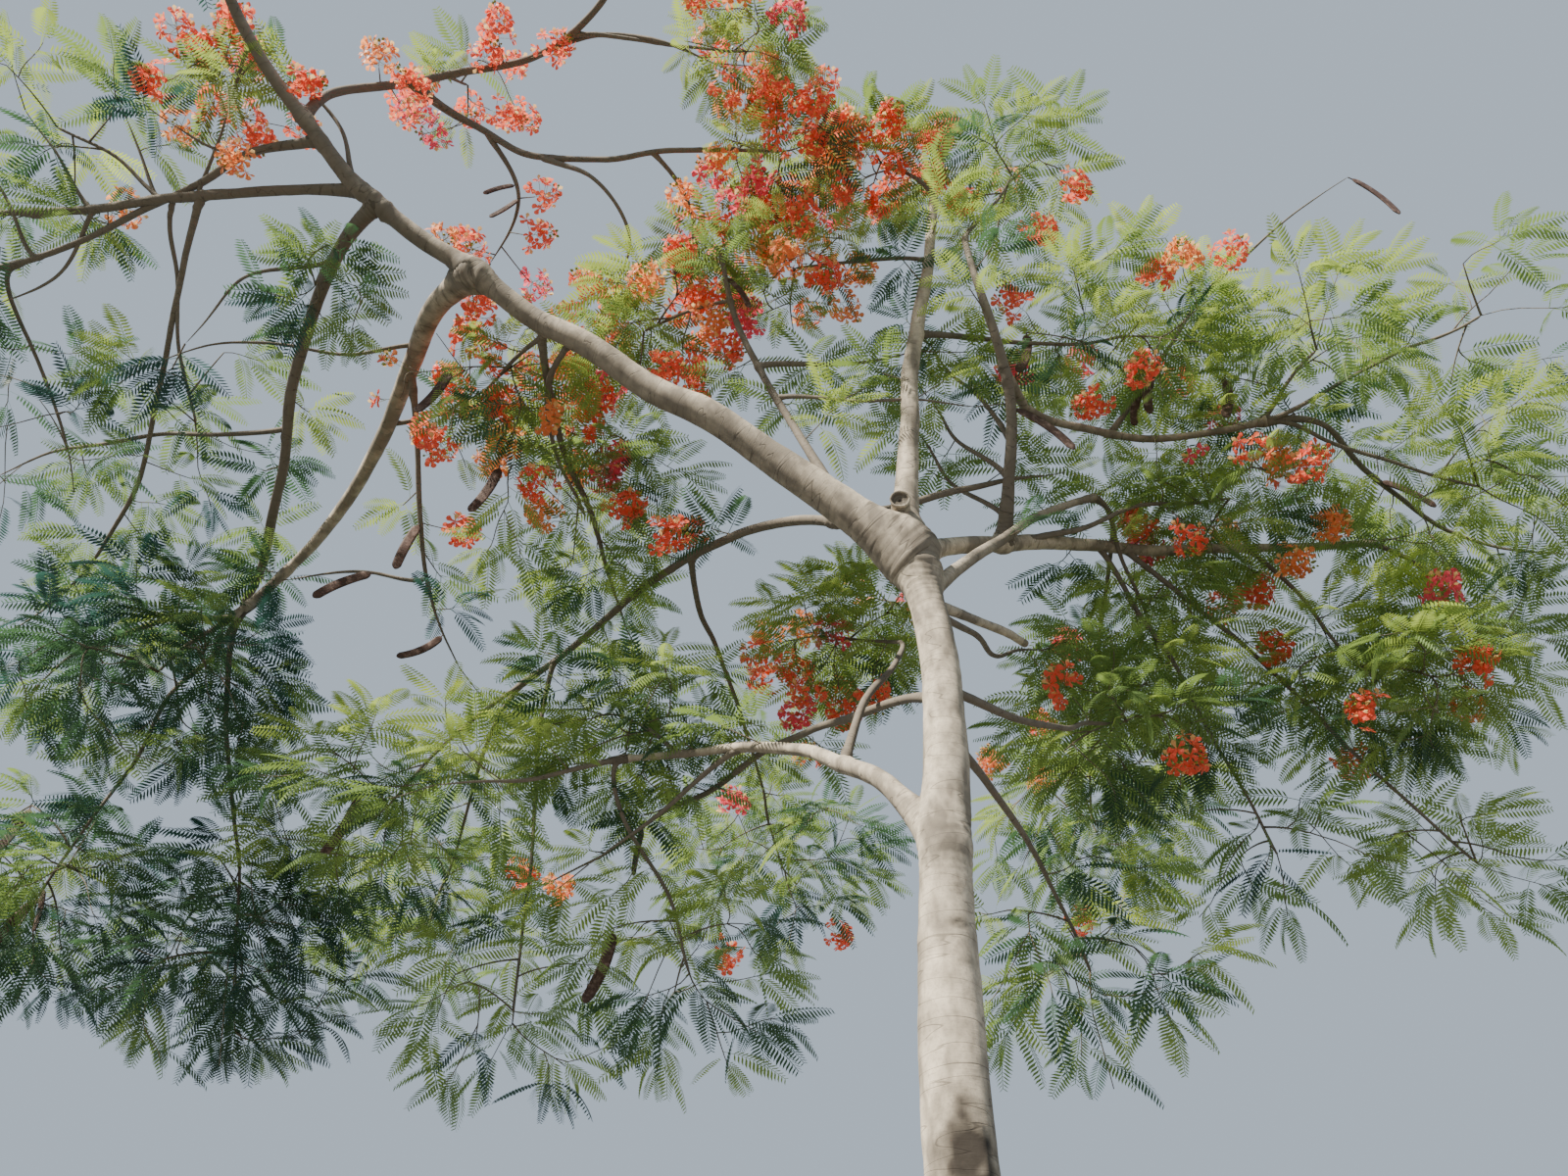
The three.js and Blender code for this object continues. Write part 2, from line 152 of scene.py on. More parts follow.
# The space of a mass, and the rule of its first twigs.
FLATNESS = 0.72
CELL_GAP = 0.006
LIMB_GAP = 0.028
SAMPLE_STEP = 0.06
TWIG_REACH = 0.45
TWIG_SHARE = (0.8, 1.1)
TWIG_PITCH = (-25, 65)
TWIG_ZONE = 0.7
TWIG_DROOP = 25
GOLDEN_ANGLE = 137.5
FIRST_SEED = 707
POD_PITCH = (-88, -62)

# Each bough: name, parent, its place along the parent, length in mm, heading and pitch at start, middle
# and end in degrees, its diameter in mm at both ends, and from which share of its length it bears leaves.
Bough = namedtuple("Bough", "name parent at reach heading pitch base tip leafy_from", defaults=[None])
BOUGHS = [Bough(*row) for row in (
    ("left_main", "trunk", 0.975, 6180, (199, 195, 258), (41, 32, 30), 227, 60),
    ("leader", "trunk", 0.99, 3190, (340, 312, 295), (90, 77, 73), 150, 62),
    ("right_main", "trunk", 0.98, 4120, (45, 20, -14), (46, 16, -5), 120, 50),
    ("right_riser", "right_main", 0.27, 2380, (256, 260, 140), (43, 58, 100), 88, 40),
    ("right_arch", "right_riser", 0.47, 2260, (75, 10, -20), (5, 5, -4), 62, 46),
    ("right_low", "trunk", 0.93, 2100, (29, 26, 15), (56, 45, 36), 86, 46),
    ("left_arching", "left_main", 0.56, 3400, (136, 124, 183), (10, -18, -60), 154, 56),
    ("left_back", "left_main", 0.69, 3440, (135, 113, 126), (-38, -17, 5), 90, 58),
    ("left_far", "left_main", 0.71, 2500, (174, 173, 172), (6, 6, 5), 72, 56),
    ("left_upper", "left_main", 0.78, 2400, (160, 160, 175), (2, -8, -19), 58, 40),
    ("top_right", "left_main", 0.81, 3250, (41, -8, -80), (80, 20, -35), 66, 46),
    ("top_inner", "top_right", 0.35, 2440, (53, -3, 4), (-30, -9, 6), 54, 36),
    ("centre_riser", "left_main", 0.09, 2450, (111, 195, 255), (80, 63, 61), 64, 36),
    ("low_left", "trunk", 0.68, 2790, (152, 132, 190), (62, 33, -11), 118, 38),
    ("back_long", "trunk", 0.99, 3750, (165, 135, 150), (52, 7, -13), 70, 44),
    ("near_right", "top_right", 0.98, 2700, (305, 325, 340), (-25, -10, -5), 42, 34),
    ("stub", "trunk", 0.925, 1250, (48, 50, 52), (23, 21, 19), 56, 50),
)]

# Fine limbs that show between the masses, given as boughs are.
FINE_LIMBS = [Bough(*row) for row in (
    ("flower_reach", "top_right", 0.66, 1390, (325, 366, 369), (-1, -16, -25), 34, 20),
    ("hanging_left", "top_inner", 0.26, 980, (32, 90, 174), (-40, -27, -16), 34, 20),
    ("arch_centre", "top_inner", 0.45, 1350, (-14, 49, 153), (-44, -28, -13), 34, 20),
    ("arch_inner", "top_inner", 0.76, 970, (21, 78, 93), (-13, -38, -59), 28, 20),
    ("long_hanging", "left_far", 0.48, 3590, (106, 120, 168), (-32, -29, -33), 44, 26, 0.4),
    ("dark_rise", "left_main", 0.72, 1260, (217, 208, 196), (66, 53, 40), 32, 20, 0.8),
    ("pod_twig", "right_arch", 0.51, 2870, (338, 333, 320), (64, 41, 2), 38, 18),
    ("left_drop", "left_main", 0.47, 2350, (88, 78, 77), (-9, -18, -26), 50, 34, 0.35),
    ("back_low", "trunk", 0.82, 3920, (110, 131, 162), (39, 5, -22), 56, 34, 0.4),
    ("far_bar", "back_long", 0.16, 1630, (5, 12, 4), (37, 25, 18), 58, 44, 0.7),
    ("twig_cross", "left_arching", 0.46, 1710, (360, 353, 375), (26, -12, -56), 30, 20, 0.3),
    ("inner_hang", "left_arching", 0.32, 2070, (74, 86, 59), (-45, -41, -31), 46, 26, 0.4),
    ("pod_bar", "inner_hang", 0.70, 1020, (193, 186, 165), (3, 0, -6), 26, 18, 0.8),
    ("riser_twig", "right_riser", 0.30, 1260, (155, 153, 154), (74, 71, 76), 32, 20, 0.5),
    ("riser_loop", "right_riser", 0.20, 1080, (156, 155, 155), (55, 67, 79), 32, 20, 0.5),
    ("loop_left", "right_riser", 0.09, 1100, (165, 162, 159), (44, 63, 84), 30, 22, 0.5),
    ("low_cross", "low_left", 0.69, 1250, (151, 141, 154), (-19, -19, -13), 34, 22, 0.5),
    ("low_right", "trunk", 0.92, 1760, (51, 55, 50), (13, 25, 39), 40, 24, 0.9),
    ("right_reach", "right_arch", 0.98, 2740, (23, 30, -51), (19, -12, -43), 46, 32, 0.3),
    ("left_reach", "left_arching", 0.84, 2090, (128, 176, 137), (-19, -14, -25), 48, 34, 0.55),
    ("left_end", "left_back", 0.51, 2420, (181, 168, 155), (13, 4, -2), 34, 26, 0.7),
    ("leaf_bar", "left_far", 0.49, 670, (295, 295, 296), (48, 48, 48), 26, 18, 0.6),
    ("far_goes_on", "left_far", 0.97, 650, (173, 178, 172), (6, 2, 8), 48, 30, 0.4),
    ("upper_goes_on", "left_upper", 0.97, 560, (175, 182, 176), (-19, -10, -16), 36, 20, 0.4),
    ("low_goes_on", "low_left", 0.97, 1150, (188, 182, 190), (-9, -14, -8), 36, 18, 0.3),
    ("riser_right", "centre_riser", 0.62, 1100, (12, 0, -12), (38, 2, 28), 34, 20, 0.3),
    ("riser_thin", "centre_riser", 0.5, 1350, (-12, 0, 16), (-22, -6, 26), 26, 16, 0.35),
    ("far_left_twig", "left_far", 0.80, 900, (220, 218, 214), (43, 41, 39), 26, 14, 0.7),
    ("far_mid_twig", "left_far", 0.61, 680, (238, 233, 227), (52, 50, 48), 26, 14, 0.7),
    ("pale_twig", "left_upper", 0.24, 560, (198, 214, 225), (-2, 11, 19), 22, 14, 0.8),
    ("edge_twig", "left_far", 0.79, 970, (102, 149, 170), (-54, -37, -17), 28, 16, 0.85),
    ("rosette_bar", "left_back", 0.16, 1110, (197, 167, 141), (4, -29, -45), 28, 16, 0.85),
    ("long_bar", "left_arching", 0.26, 1800, (184, 189, 167), (-9, -4, -29), 28, 16, 0.85),
    ("edge_low", "left_upper", 0.91, 850, (240, 220, 204), (50, 43, 32), 28, 16, 0.7),
)]

# How many first twigs and leaf draws the source's rule makes in a mass of each kind.
LEAFY = {"twigs": 4, "leaves": 2}
FLOWERING = {"twigs": 3, "leaves": 1}
KINDS = {"leaves": LEAFY, "blossom": FLOWERING}

# Shares of the five leaf greens in a mass: young, bright, mid, deep and shade. Bright is a painted sunlit green
# and deep and shade are painted shaded greens, so LIGHT paints light on sunlit masses and DEEP and DARK paint
# shade on masses under the crown.
GREENS = ("young", "bright", "mid", "deep", "shade")
LIGHT = (0.12, 0.42, 0.33, 0.11, 0.02)
MIXED = (0.06, 0.28, 0.36, 0.20, 0.10)
DEEP = (0.03, 0.12, 0.25, 0.33, 0.27)
DARK = (0.01, 0.06, 0.17, 0.34, 0.42)

# Each mass: name, the limb that carries its stem, the stem's place along it, the stem's length in mm,
# heading and pitch at both ends, its diameter in mm, the reach round its tip in mm, its pods, how full it
# is, the share of its sprays that flower, and its greens. The first word of its name is its kind.
Mass = namedtuple("Mass", "name limb at reach heading pitch base spread pods fullness racemes greens kind")
MASSES = [Mass(*row, KINDS[row[0].split("_")[0]]) for row in (
    ("leaves_far_left_top", "left_far", 0.6, 900, (210, 200), (35, 20), 34, 1000, 0, 0.1, 0, MIXED),
    ("blossom_left_top", "left_main", 0.9, 400, (125, 125), (5, -10), 30, 650, 0, 0.28, 0.6, LIGHT),
    ("blossom_top_inner", "top_right", 0.42, 350, (80, 80), (70, 60), 30, 600, 0, 0.4, 0.75, LIGHT),
    ("blossom_top_right", "top_right", 0.72, 1350, (5, -10), (-12, -25), 34, 600, 0, 0.55, 0.42, LIGHT),
    ("blossom_top_centre", "top_inner", 0.98, 400, (10, 10), (20, 10), 30, 650, 0, 0.8, 0.6, LIGHT),
    ("blossom_centre", "centre_riser", 0.98, 350, (120, 120), (80, 70), 30, 600, 1, 0.55, 0.75, LIGHT),
    ("blossom_leader_left", "leader", 0.8, 950, (180, 165), (10, 5), 36, 650, 0, 0.82, 0.55, LIGHT),
    ("blossom_crown_top", "leader", 0.98, 750, (175, 175), (70, 55), 40, 650, 0, 1.2, 0.66, LIGHT),
    ("leaves_crown_top", "right_riser", 0.98, 1100, (10, 0), (60, 70), 34, 850, 0, 0.46, 0.28, LIGHT),
    ("blossom_main", "centre_riser", 0.85, 700, (155, 155), (10, 0), 30, 750, 0, 0.62, 0.62, LIGHT),
    ("blossom_left", "left_main", 0.45, 800, (135, 135), (15, 0), 44, 800, 1, 0.42, 0.62, LIGHT),
    ("leaves_left_inner", "left_main", 0.42, 1350, (125, 60), (5, -30), 46, 1000, 1, 0.36, 0.3, LIGHT),
    ("leaves_rosette", "left_back", 0.15, 300, (225, 225), (-60, -75), 30, 600, 0, 0.9, 0, DEEP),
    ("leaves_left_hanging", "left_upper", 0.5, 1450, (100, 75), (-35, -40), 34, 900, 0, 0.1, 0, DEEP),
    ("leaves_left_outer", "left_upper", 0.98, 1300, (85, 85), (-20, -35), 34, 1100, 0, 0.1, 0.05, DEEP),
    ("leaves_left_shoulder", "left_arching", 0.98, 650, (180, 180), (-50, -60), 44, 1100, 0, 0.68, 0, DEEP),
    ("leaves_left_low_outer", "left_back", 0.98, 2500, (145, 145), (-55, -65), 46, 1100, 1, 0.6, 0, DARK),
    ("leaves_left_low", "left_arching", 0.95, 2450, (85, 85), (-50, -65), 46, 1100, 0, 0.68, 0, DARK),
    ("leaves_left_middle", "back_long", 0.97, 1400, (190, 190), (-50, -65), 38, 1150, 1, 0.34, 0, MIXED),
    ("leaves_front_spray", "low_left", 0.85, 650, (155, 155), (50, 35), 34, 900, 0, 0.85, 0, MIXED),
    ("leaves_low_hanging", "back_long", 0.9, 2450, (95, 95), (-65, -80), 38, 950, 0, 0.27, 0, MIXED),
    ("leaves_low_centre", "low_left", 0.98, 1450, (70, 70), (-30, -45), 34, 1000, 1, 0.28, 0, MIXED),
    ("blossom_behind_fork", "low_left", 0.34, 2550, (5, 150), (70, 30), 56, 800, 0, 0.75, 0.45, LIGHT),
    ("blossom_right_top", "leader", 0.58, 1650, (25, -5), (15, 15), 50, 1000, 1, 0.22, 0.25, LIGHT),
    ("leaves_right_upper", "right_arch", 0.95, 650, (315, 315), (35, 20), 36, 1000, 1, 0.36, 0.03, LIGHT),
    ("leaves_right_outer_top", "right_arch", 0.98, 1550, (335, 335), (20, 5), 34, 900, 0, 0.13, 0, LIGHT),
    ("leaves_right_outer", "right_arch", 0.99, 1500, (20, 0), (-15, -15), 36, 1100, 0, 0.5, 0, LIGHT),
    ("blossom_right_inner", "right_main", 0.3, 1700, (5, 5), (25, 15), 50, 900, 0, 0.5, 0.3, LIGHT),
    ("leaves_right_middle", "right_low", 0.98, 1150, (60, 60), (-15, -35), 38, 1000, 0, 0.68, 0.04, LIGHT),
    ("leaves_right_back", "trunk", 0.83, 2200, (40, 50), (5, 40), 54, 950, 0, 0.8, 0.05, LIGHT),
    ("blossom_right", "right_main", 0.78, 1250, (10, 15), (-55, -65), 38, 950, 0, 0.5, 0.15, LIGHT),
    ("leaves_right_far", "right_main", 0.98, 1200, (25, 25), (-30, -45), 38, 1000, 0, 0.44, 0.02, LIGHT),
    ("leaves_right_low_outer", "right_main", 0.55, 2950, (25, 20), (-40, -45), 42, 800, 0, 0.38, 0, LIGHT),
    ("leaves_right_low_middle", "right_main", 0.5, 2300, (45, 45), (-45, -60), 40, 850, 0, 0.18, 0, MIXED),
    ("leaves_right_hanging", "trunk", 0.79, 2000, (60, 60), (0, -30), 54, 950, 0, 0.4, 0, MIXED),
    ("leaves_near_centre", "top_right", 0.95, 2500, (262, 262), (-20, -45), 36, 1250, 0, 0.75, 0.12, MIXED),
    ("leaves_near_right", "near_right", 0.85, 800, (260, 260), (-30, -50), 30, 1200, 0, 0.75, 0.12, MIXED),
    ("leaves_near_far_right", "near_right", 0.98, 2500, (352, 352), (-10, -35), 32, 1200, 0, 0.75, 0.12, MIXED),
    ("leaves_near_left", "left_main", 0.98, 2200, (235, 235), (-20, -40), 44, 1250, 0, 0.6, 0.12, MIXED),
    ("leaves_far_left", "back_long", 0.98, 2350, (115, 115), (-10, -25), 38, 1200, 0, 0.22, 0.12, MIXED),
    ("leaves_far_centre", "back_long", 0.5, 3350, (80, 80), (0, -15), 46, 1200, 0, 0.4, 0.12, MIXED),
    ("leaves_far_right", "right_low", 0.95, 3300, (80, 80), (0, -15), 40, 1200, 0, 0.4, 0.12, MIXED),
)]
ALL_MASSES = [mass.name for mass in MASSES]
FLOWERING_MASSES = [mass.name for mass in MASSES if mass.kind is FLOWERING]

# Pods that hang elsewhere than at the masses' first twigs: limb or stem, place along it, heading, pitch at
# both ends and size.
SINGLE_PODS = (
    ("pod_twig", 1.0, 15, -20, -80, 1.0),
    ("pod_twig", 0.27, 185, -60, -88, 1.1),
    ("pod_twig", 0.2, 170, -60, -84, 0.8),
    ("right_riser", 0.4, 8, -25, -65, 1.1),
    ("right_reach", 0.45, 5, -12, -50, 0.9),
    ("inner_hang", 0.5, 200, -75, -88, 0.95),
    ("inner_hang", 0.88, 205, -70, -25, 0.8),
    ("pod_bar", 0.42, 205, -35, -62, 1.0),
    ("hanging_left", 0.4, 195, -35, -60, 0.6),
    ("hanging_left", 0.5, 180, -70, -40, 0.6),
    ("centre_riser", 0.93, 20, -35, -80, 0.7),
    ("back_low", 0.8, 250, -70, -85, 0.9),
    ("leaves_left_low_outer", 1.0, 200, -62, -84, 0.85),
    ("leaves_left_low_outer", 0.97, 330, -58, -80, 0.75),
)

# Limbs that bear leaves beside the masses, and the share of their length from which they do.
LEAFY_FROM = {
    "left_back": 0.45,
    "left_far": 0.75,
    "left_upper": 0.7,
    "left_arching": 0.85,
    "low_left": 0.62,
    "back_long": 0.4,
    "right_main": 0.45,
    "right_riser": 0.45,
    "right_arch": 0.75,
    "right_low": 0.5,
    "centre_riser": 0.3,
    "leader": 0.45,
    "near_right": 0.1,
    **{limb.name: limb.leafy_from for limb in FINE_LIMBS if limb.leafy_from is not None},
}
# Limbs that end in blossom.
FLOWERING_ENDS = ("flower_reach", "hanging_left", "arch_centre", "arch_inner", "twig_cross", "leaf_bar")
# Racemes on short stalks of their own: limb, place along it, heading, pitch and length of the stalk.
OPEN_RACEMES = (
    ("top_right", 0.28, 270, 30, 0.12),
    ("top_right", 0.3, 80, 20, 0.16),
    ("top_inner", 0.12, 250, -50, 0.3),
    ("top_inner", 0.2, 200, -60, 0.22),
    ("hanging_left", 0.5, 0, 10, 0.12),
    ("hanging_left", 0.75, 340, -40, 0.25),
    ("left_main", 0.62, 90, 60, 0.25),
    ("left_main", 0.58, 100, 75, 0.22),
    ("left_upper", 0.15, 200, -60, 0.25),
    ("top_right", 0.55, 270, -10, 0.18),
    ("top_right", 0.6, 330, -30, 0.2),
    ("left_far", 0.72, 120, 50, 0.14),
    ("inner_hang", 0.16, 10, 25, 0.25),
    ("inner_hang", 0.5, 20, 0, 0.2),
    ("left_drop", 0.2, 185, 20, 0.3),
    ("left_drop", 0.3, 190, -10, 0.25),
    ("left_drop", 0.42, 180, 10, 0.35),
    ("left_drop", 0.5, 10, 0, 0.15),
    ("left_drop", 0.62, 180, -10, 0.25),
)
LIMB_SPRAY_STEP = 0.4
END_FLOWERING_FROM = 0.86
END_RACEMES = 3
# Long stems that bear leaves on their way to their mass, and the share of their length from which they do.
LEAFY_STEMS = {
    "leaves_left_low_outer": 0.2,
    "leaves_left_low": 0.25,
    "leaves_near_centre": 0.12,
    "leaves_near_right": 0.2,
    "leaves_near_far_right": 0.15,
    "leaves_near_left": 0.12,
    "leaves_far_left": 0.35,
    "leaves_far_centre": 0.4,
    "leaves_far_right": 0.35,
}

# Limbs that stand clear of the leaves below them, and between which shares of their length.
CLEAR = {
    "left_main": (0.0, 0.8),
    "left_arching": (0.0, 0.8),
    "left_far": (0.0, 0.55),
    "right_arch": (0.0, 1.0),
    "right_reach": (0.0, 0.65),
    "right_main": (0.0, 0.6),
    "right_riser": (0.0, 0.5),
    "stub": (0.0, 1.0),
    "leader": (0.0, 0.6),
    "low_left": (0.0, 0.6),
    "trunk": (0.4, 1.0),
}
CLEAR_DEPTH = 1.6
CLEAR_ROOM = 0.07
SAMPLES_PER_METRE = 12

# Finer twigs and sprays, in metres and shares.
TWIG_POINTS = 6
TWIG_SIDES = 4
SPRAY_TWIG = 0.004
FIRST_TWIG = 0.008
TWIG_THICKENING = 0.42
TWIG_CLEARANCE = 0.004
TURN_COST = 0.45
TWIG_BENDS = (0.38, 0.34)
STEM_KNOTS = (0.45, 1, 6)
FINE_LIMB_KNOTS = (0.3, 1, 8)
SHOOT_REACH = (0.14, 0.36)
SPRAY_INSET = 0.2
LEAST_INNER = 0.45
EDGE_ROOM = 0.1
LAYER = 0.36
SHADED_X = -2.6
LAYERED = 0.65
RACEME_ROOM = 0.2
TARGET_TRIES = 900

# Leaves of a spray: how many, below the second number, the length of twig that bears them, how they lean,
# level out, hang and differ in size, and the shares of their size that are tried where they don't fit.
LEAVES_IN_SPRAY = (6, 10)
LEAF_ZONE = 0.17
LEAST_LEAN = 18
MORE_LEAN = 58
LEVELLED = 0.38
SHOOT_HANG = 0.12
LEAST_HANG = 0.08
MORE_HANG = 0.35
LEAF_SIZES = (0.78, 1.08)
END_LEAF = 0.8
LEAF_TRIES = (1.0, 0.82, 0.66)
LEAF_CLEARANCE = 0.012
BALL_SLACK = 1.1
BOX_SLACK = 0.02
LEAVES_IN_PIECE = 2600

# Kinds of leaf: droop, arch and sweep as shares of the droop, and how far feathers point forward and fold.
LEAF_BENDS = (
    (1.0, 0.5, 0.0, 0.45, 0.20),
    (1.6, 0.8, 0.4, 0.55, 0.35),
    (0.5, 0.3, -0.3, 0.35, 0.10),
    (1.2, 1.0, -0.5, 0.55, 0.35),
    (2.1, 0.9, 0.2, 0.50, 0.30),
    (0.8, 0.2, 0.5, 0.40, 0.40),
)
# Outlines of the small blades: a feather of length 1, and a flower's as shares of a petal's length.
FEATHER = ((0, 0, 0), (0.3, -0.11, -0.04), (1, 0, -0.05), (0.62, 0.11, -0.04))
PETAL = (
    (0.02, 0, 0), (0.42, -0.1, 0.02), (0.8, -0.36, -0.06),
    (1.0, -0.12, -0.12), (0.98, 0.16, -0.14), (0.76, 0.37, -0.05),
)
PETAL_MIDDLE = (0.66, 0, 0.07)
STANDARD = ((0.02, 0, 0), (0.4, -0.08, 0), (0.72, -0.28, 0.08), (0.95, 0, 0.16), (0.72, 0.28, 0.08))
STANDARD_MIDDLE = (0.6, 0, 0.02)
SEPAL = ((0, 0, 0), (0.22, -0.09, 0), (0.46, 0, 0.02), (0.22, 0.09, 0))
STAMEN = ((0, -0.012, 0), (0.92, 0, 0.05), (0, 0.012, 0))
# How far the petals and the sepals lean out in each kind of flower.
FLOWER_LEANS = ((1.15, 1.75), (0.85, 1.5), (1.4, 1.95))
STAMEN_LEAN = 0.42

# Racemes: a dome of flowers on long stalks, with buds at its top.
RACEME_LENGTH = (0.14, 0.24)
FLOWER_COUNTS = (0.7, 1.3)
RED_SHARES = (0.58, 0.27, 0.15)
TOP_BUDS = 6
FOOT_FLOWER_LEAN = 88
TOP_FLOWER_LEAN = 30
FOOT_STALK = 0.105
TOP_STALK = 0.055
BUD_STALK = 0.7
STALK_RADIUS = 0.0016
BUD_LENGTH = 0.024

# Pods: how closely they are drawn, the shares of their length at stalk and beak, and their seeds.
POD_RINGS = 60
POD_SIDES = 14
POD_STALK = 0.07
POD_SHOULDER = 0.08
POD_BEAK = 0.07
POD_SEEDS = 22

# Light that comes through each leaf green and each petal red.
LEAF_GLOWS = {"young": "bcd45c", "bright": "a0b858", "mid": "809c50", "deep": "486c46", "shade": "345a50"}
PETAL_GLOWS = {"scarlet": "ff8464", "orange": "ffac70", "crimson": "ff6c80"}

# Age of the bark, which darkens it, and painted shade: thin boughs are darker with age and with painted shade
# of the crown, all boughs with age, and painted shade darkens their undersides and the big one towards its end.
THIN_AGE_AND_PAINTED_SHADE = 0.85
BOUGH_AGE = 0.18
UNDERSIDE_PAINTED_SHADE = 0.6
OUTER_PAINTED_SHADE = 0.35
# Boughs that are painted lighter, with painted light where the crown shades them, and by how much.
PAINTED_LIGHT = {
    "leader": 0.5,
    "right_main": 0.5,
    "right_arch": 0.85,
    "right_low": 0.4,
    "stub": 1.3,
    "low_left": 0.3,
    "left_arching": 0.3,
}

# Sawn stub in front of the leader. Its profile: distance past the cut, share of the radius, and darkness,
# over the bark, the rolled callus, the cut and the heart.
SAWN_STUB = {"start": (0.012, 0.0, 6.52), "heading": 263, "pitch": -8, "length": 0.2, "radius": 0.056}
SAWN_SIDES = 28
SAWN_PROFILE = (
    (-0.2, 1.25, 0), (-0.12, 1.05, 0), (-0.04, 0.96, 0), (-0.015, 1.02, 0), (-0.004, 1.1, 0),
    (0.004, 1.09, 0), (0.008, 1.0, 0), (0.006, 0.9, 0.1), (-0.002, 0.82, 0.45), (-0.012, 0.77, 0.6),
    (-0.014, 0.6, 0.4), (-0.013, 0.45, 0.6), (-0.016, 0.3, 0.45), (-0.02, 0.16, 0.85), (-0.022, 0.03, 0.95),
)
# Scars and knots on the trunk: height, turn in degrees, width, tallness and depth.
TRUNK_SCARS = (
    (2.96, -85, 0.07, 0.13, 1.2),
    (2.74, -101, 0.03, 0.035, 1.0),
    (4.07, -70, 0.016, 0.022, 0.55),
    (3.90, -74, 0.026, 0.016, 0.6),
    (1.75, -60, 0.04, 0.06, 0.6),
    (1.30, 70, 0.045, 0.07, 0.7),
    (2.2, 160, 0.05, 0.07, 0.8),
    (3.6, 100, 0.04, 0.06, 0.6),
    (4.6, 30, 0.03, 0.04, 0.5),
    (0.8, -120, 0.035, 0.05, 0.5),
)

# The photograph's camera, in the tree's frame.
CAMERA_PLACE = (-0.68, -4.80, 1.50)
CAMERA_TILT = 133
LENS = 27
SENSOR = 36
SUN_FROM = (-0.50, -0.50, 0.70)
FLOOR_HALF = 60.0

# Kinds of node and socket that are used often.
MATH = "ShaderNodeMath"
MIX = "ShaderNodeMix"
NOISE = "ShaderNodeTexNoise"
RANGE = "ShaderNodeMapRange"
BUMP = "ShaderNodeBump"
SKIN = "ShaderNodeBsdfPrincipled"
SHOWN = "ShaderNodeOutputMaterial"
XYZ = "ShaderNodeCombineXYZ"
RANDOM = "FunctionNodeRandomValue"
COPIES = "GeometryNodeInstanceOnPoints"
NUMBER = "NodeSocketFloat"
WHOLE = "NodeSocketInt"


def linear(code):
    """An sRGB hex colour as linear red, green and blue."""
    shares = [int(code[k : k + 2], 16) / 255 for k in (0, 2, 4)]
    return [s / 12.92 if s <= 0.04045 else ((s + 0.055) / 1.055) ** 2.4 for s in shares]


def colour(name, description, code):
    """A colour that a user can change."""
    return bpy.props.FloatVectorProperty(
        name=name, description=description, subtype="COLOR", size=3, min=0, max=1, default=linear(code)
    )


def length(name, description, default):
    """A size in metres that a user can change."""
    return bpy.props.FloatProperty(name=name, description=description, default=default, min=0, unit="LENGTH")


class FlameTreeBark(bpy.types.PropertyGroup):
    """Sizes and colours of the bark."""

    relief: length("Relief", "Height of the wrinkles at the forks", 0.0027)
    wrinkle: length("Wrinkle spacing", "Distance from one wrinkle to the next", 0.03)
    pale: colour("Pale bark", "Sunlit old bark", "cfc5b4")
    # Tan also paints the dappled shade on the bark and the shade under the boughs.
    tan: colour("Tan bark", "Weathered patches and thinner boughs", "6b655d")
    dark: colour("Dark bark", "Scars, cracks and old knots", "282421")
    young: colour("Young bark", "Bark of branches", "7a7369")
    green: colour("Green bark", "Bark of twigs", "5f5743")


class FlameTreeLeaves(bpy.types.PropertyGroup):
    """Sizes and colours of the feathery leaves."""

    leaf: length("Leaf", "Length of a full-grown leaf", 0.43)
    feather: length("Feather", "Length of the longest feathers of a leaf", 0.096)
    droop: length("Droop", "How far a leaf's tip hangs", 0.07)
    pairs: bpy.props.IntProperty(name="Pairs", description="Pairs of feathers", default=15, min=2)
    room: length("Room", "Distance between neighbouring sprays", 0.285)
    # Bright is a painted sunlit green, and deep and shade are darker greens painted for shade.
    young: colour("Young", "New leaves", "a8c05a")
    bright: colour("Bright", "Sunlit leaves", "8aa55a")
    mid: colour("Mid", "Full-grown leaves", "6d8c52")
    deep: colour("Deep", "Old leaves", "395b46")
    shade: colour("Shade", "Leaves under the crown", "294945")


class FlameTreeBlossom(bpy.types.PropertyGroup):
    """Sizes and colours of the blossom."""

    petal: length("Petal", "Length of a petal", 0.06)
    flowers: bpy.props.IntProperty(name="Flowers", description="Flowers in a raceme", default=15, min=1)
    scarlet: colour("Scarlet", "Most petals", "ff5c48")
    orange: colour("Orange", "Petals in full sun", "ff8c58")
    crimson: colour("Crimson", "Older petals", "f65468")
    standard: colour("Standard", "The pale petal of each flower", "f4b87c")
    bud: colour("Bud", "Buds and stalks", "8c9a3c")


class FlameTreePods(bpy.types.PropertyGroup):
    """Sizes and colours of the pods."""

    pod: length("Pod", "Length of a pod", 0.5)
    width: length("Width", "Width of a pod", 0.074)
    skin: colour("Skin", "Ripe pod", "48352f")
    worn: colour("Worn skin", "Weathered patches of a pod", "7c6862")


class FlameTreeStage(bpy.types.PropertyGroup):
    """Floor and lights."""

    floor: colour("Floor", "Pale floor", "66645f")
    surround: colour("Surround", "Pale surround", "d3e3f4")
    sun: bpy.props.FloatProperty(name="Sun", description="Strength of the key light", default=13.0, min=0)
    fill: bpy.props.FloatProperty(name="Fill", description="Strength of the surround", default=0.73, min=0)


def generator(seed):
    """Seeded draws between 0 and 1, from a 32-bit congruential generator."""
    state = seed
    while True:
        state = (1664525 * state + 1013904223) % 2**32
        yield state / 2**32


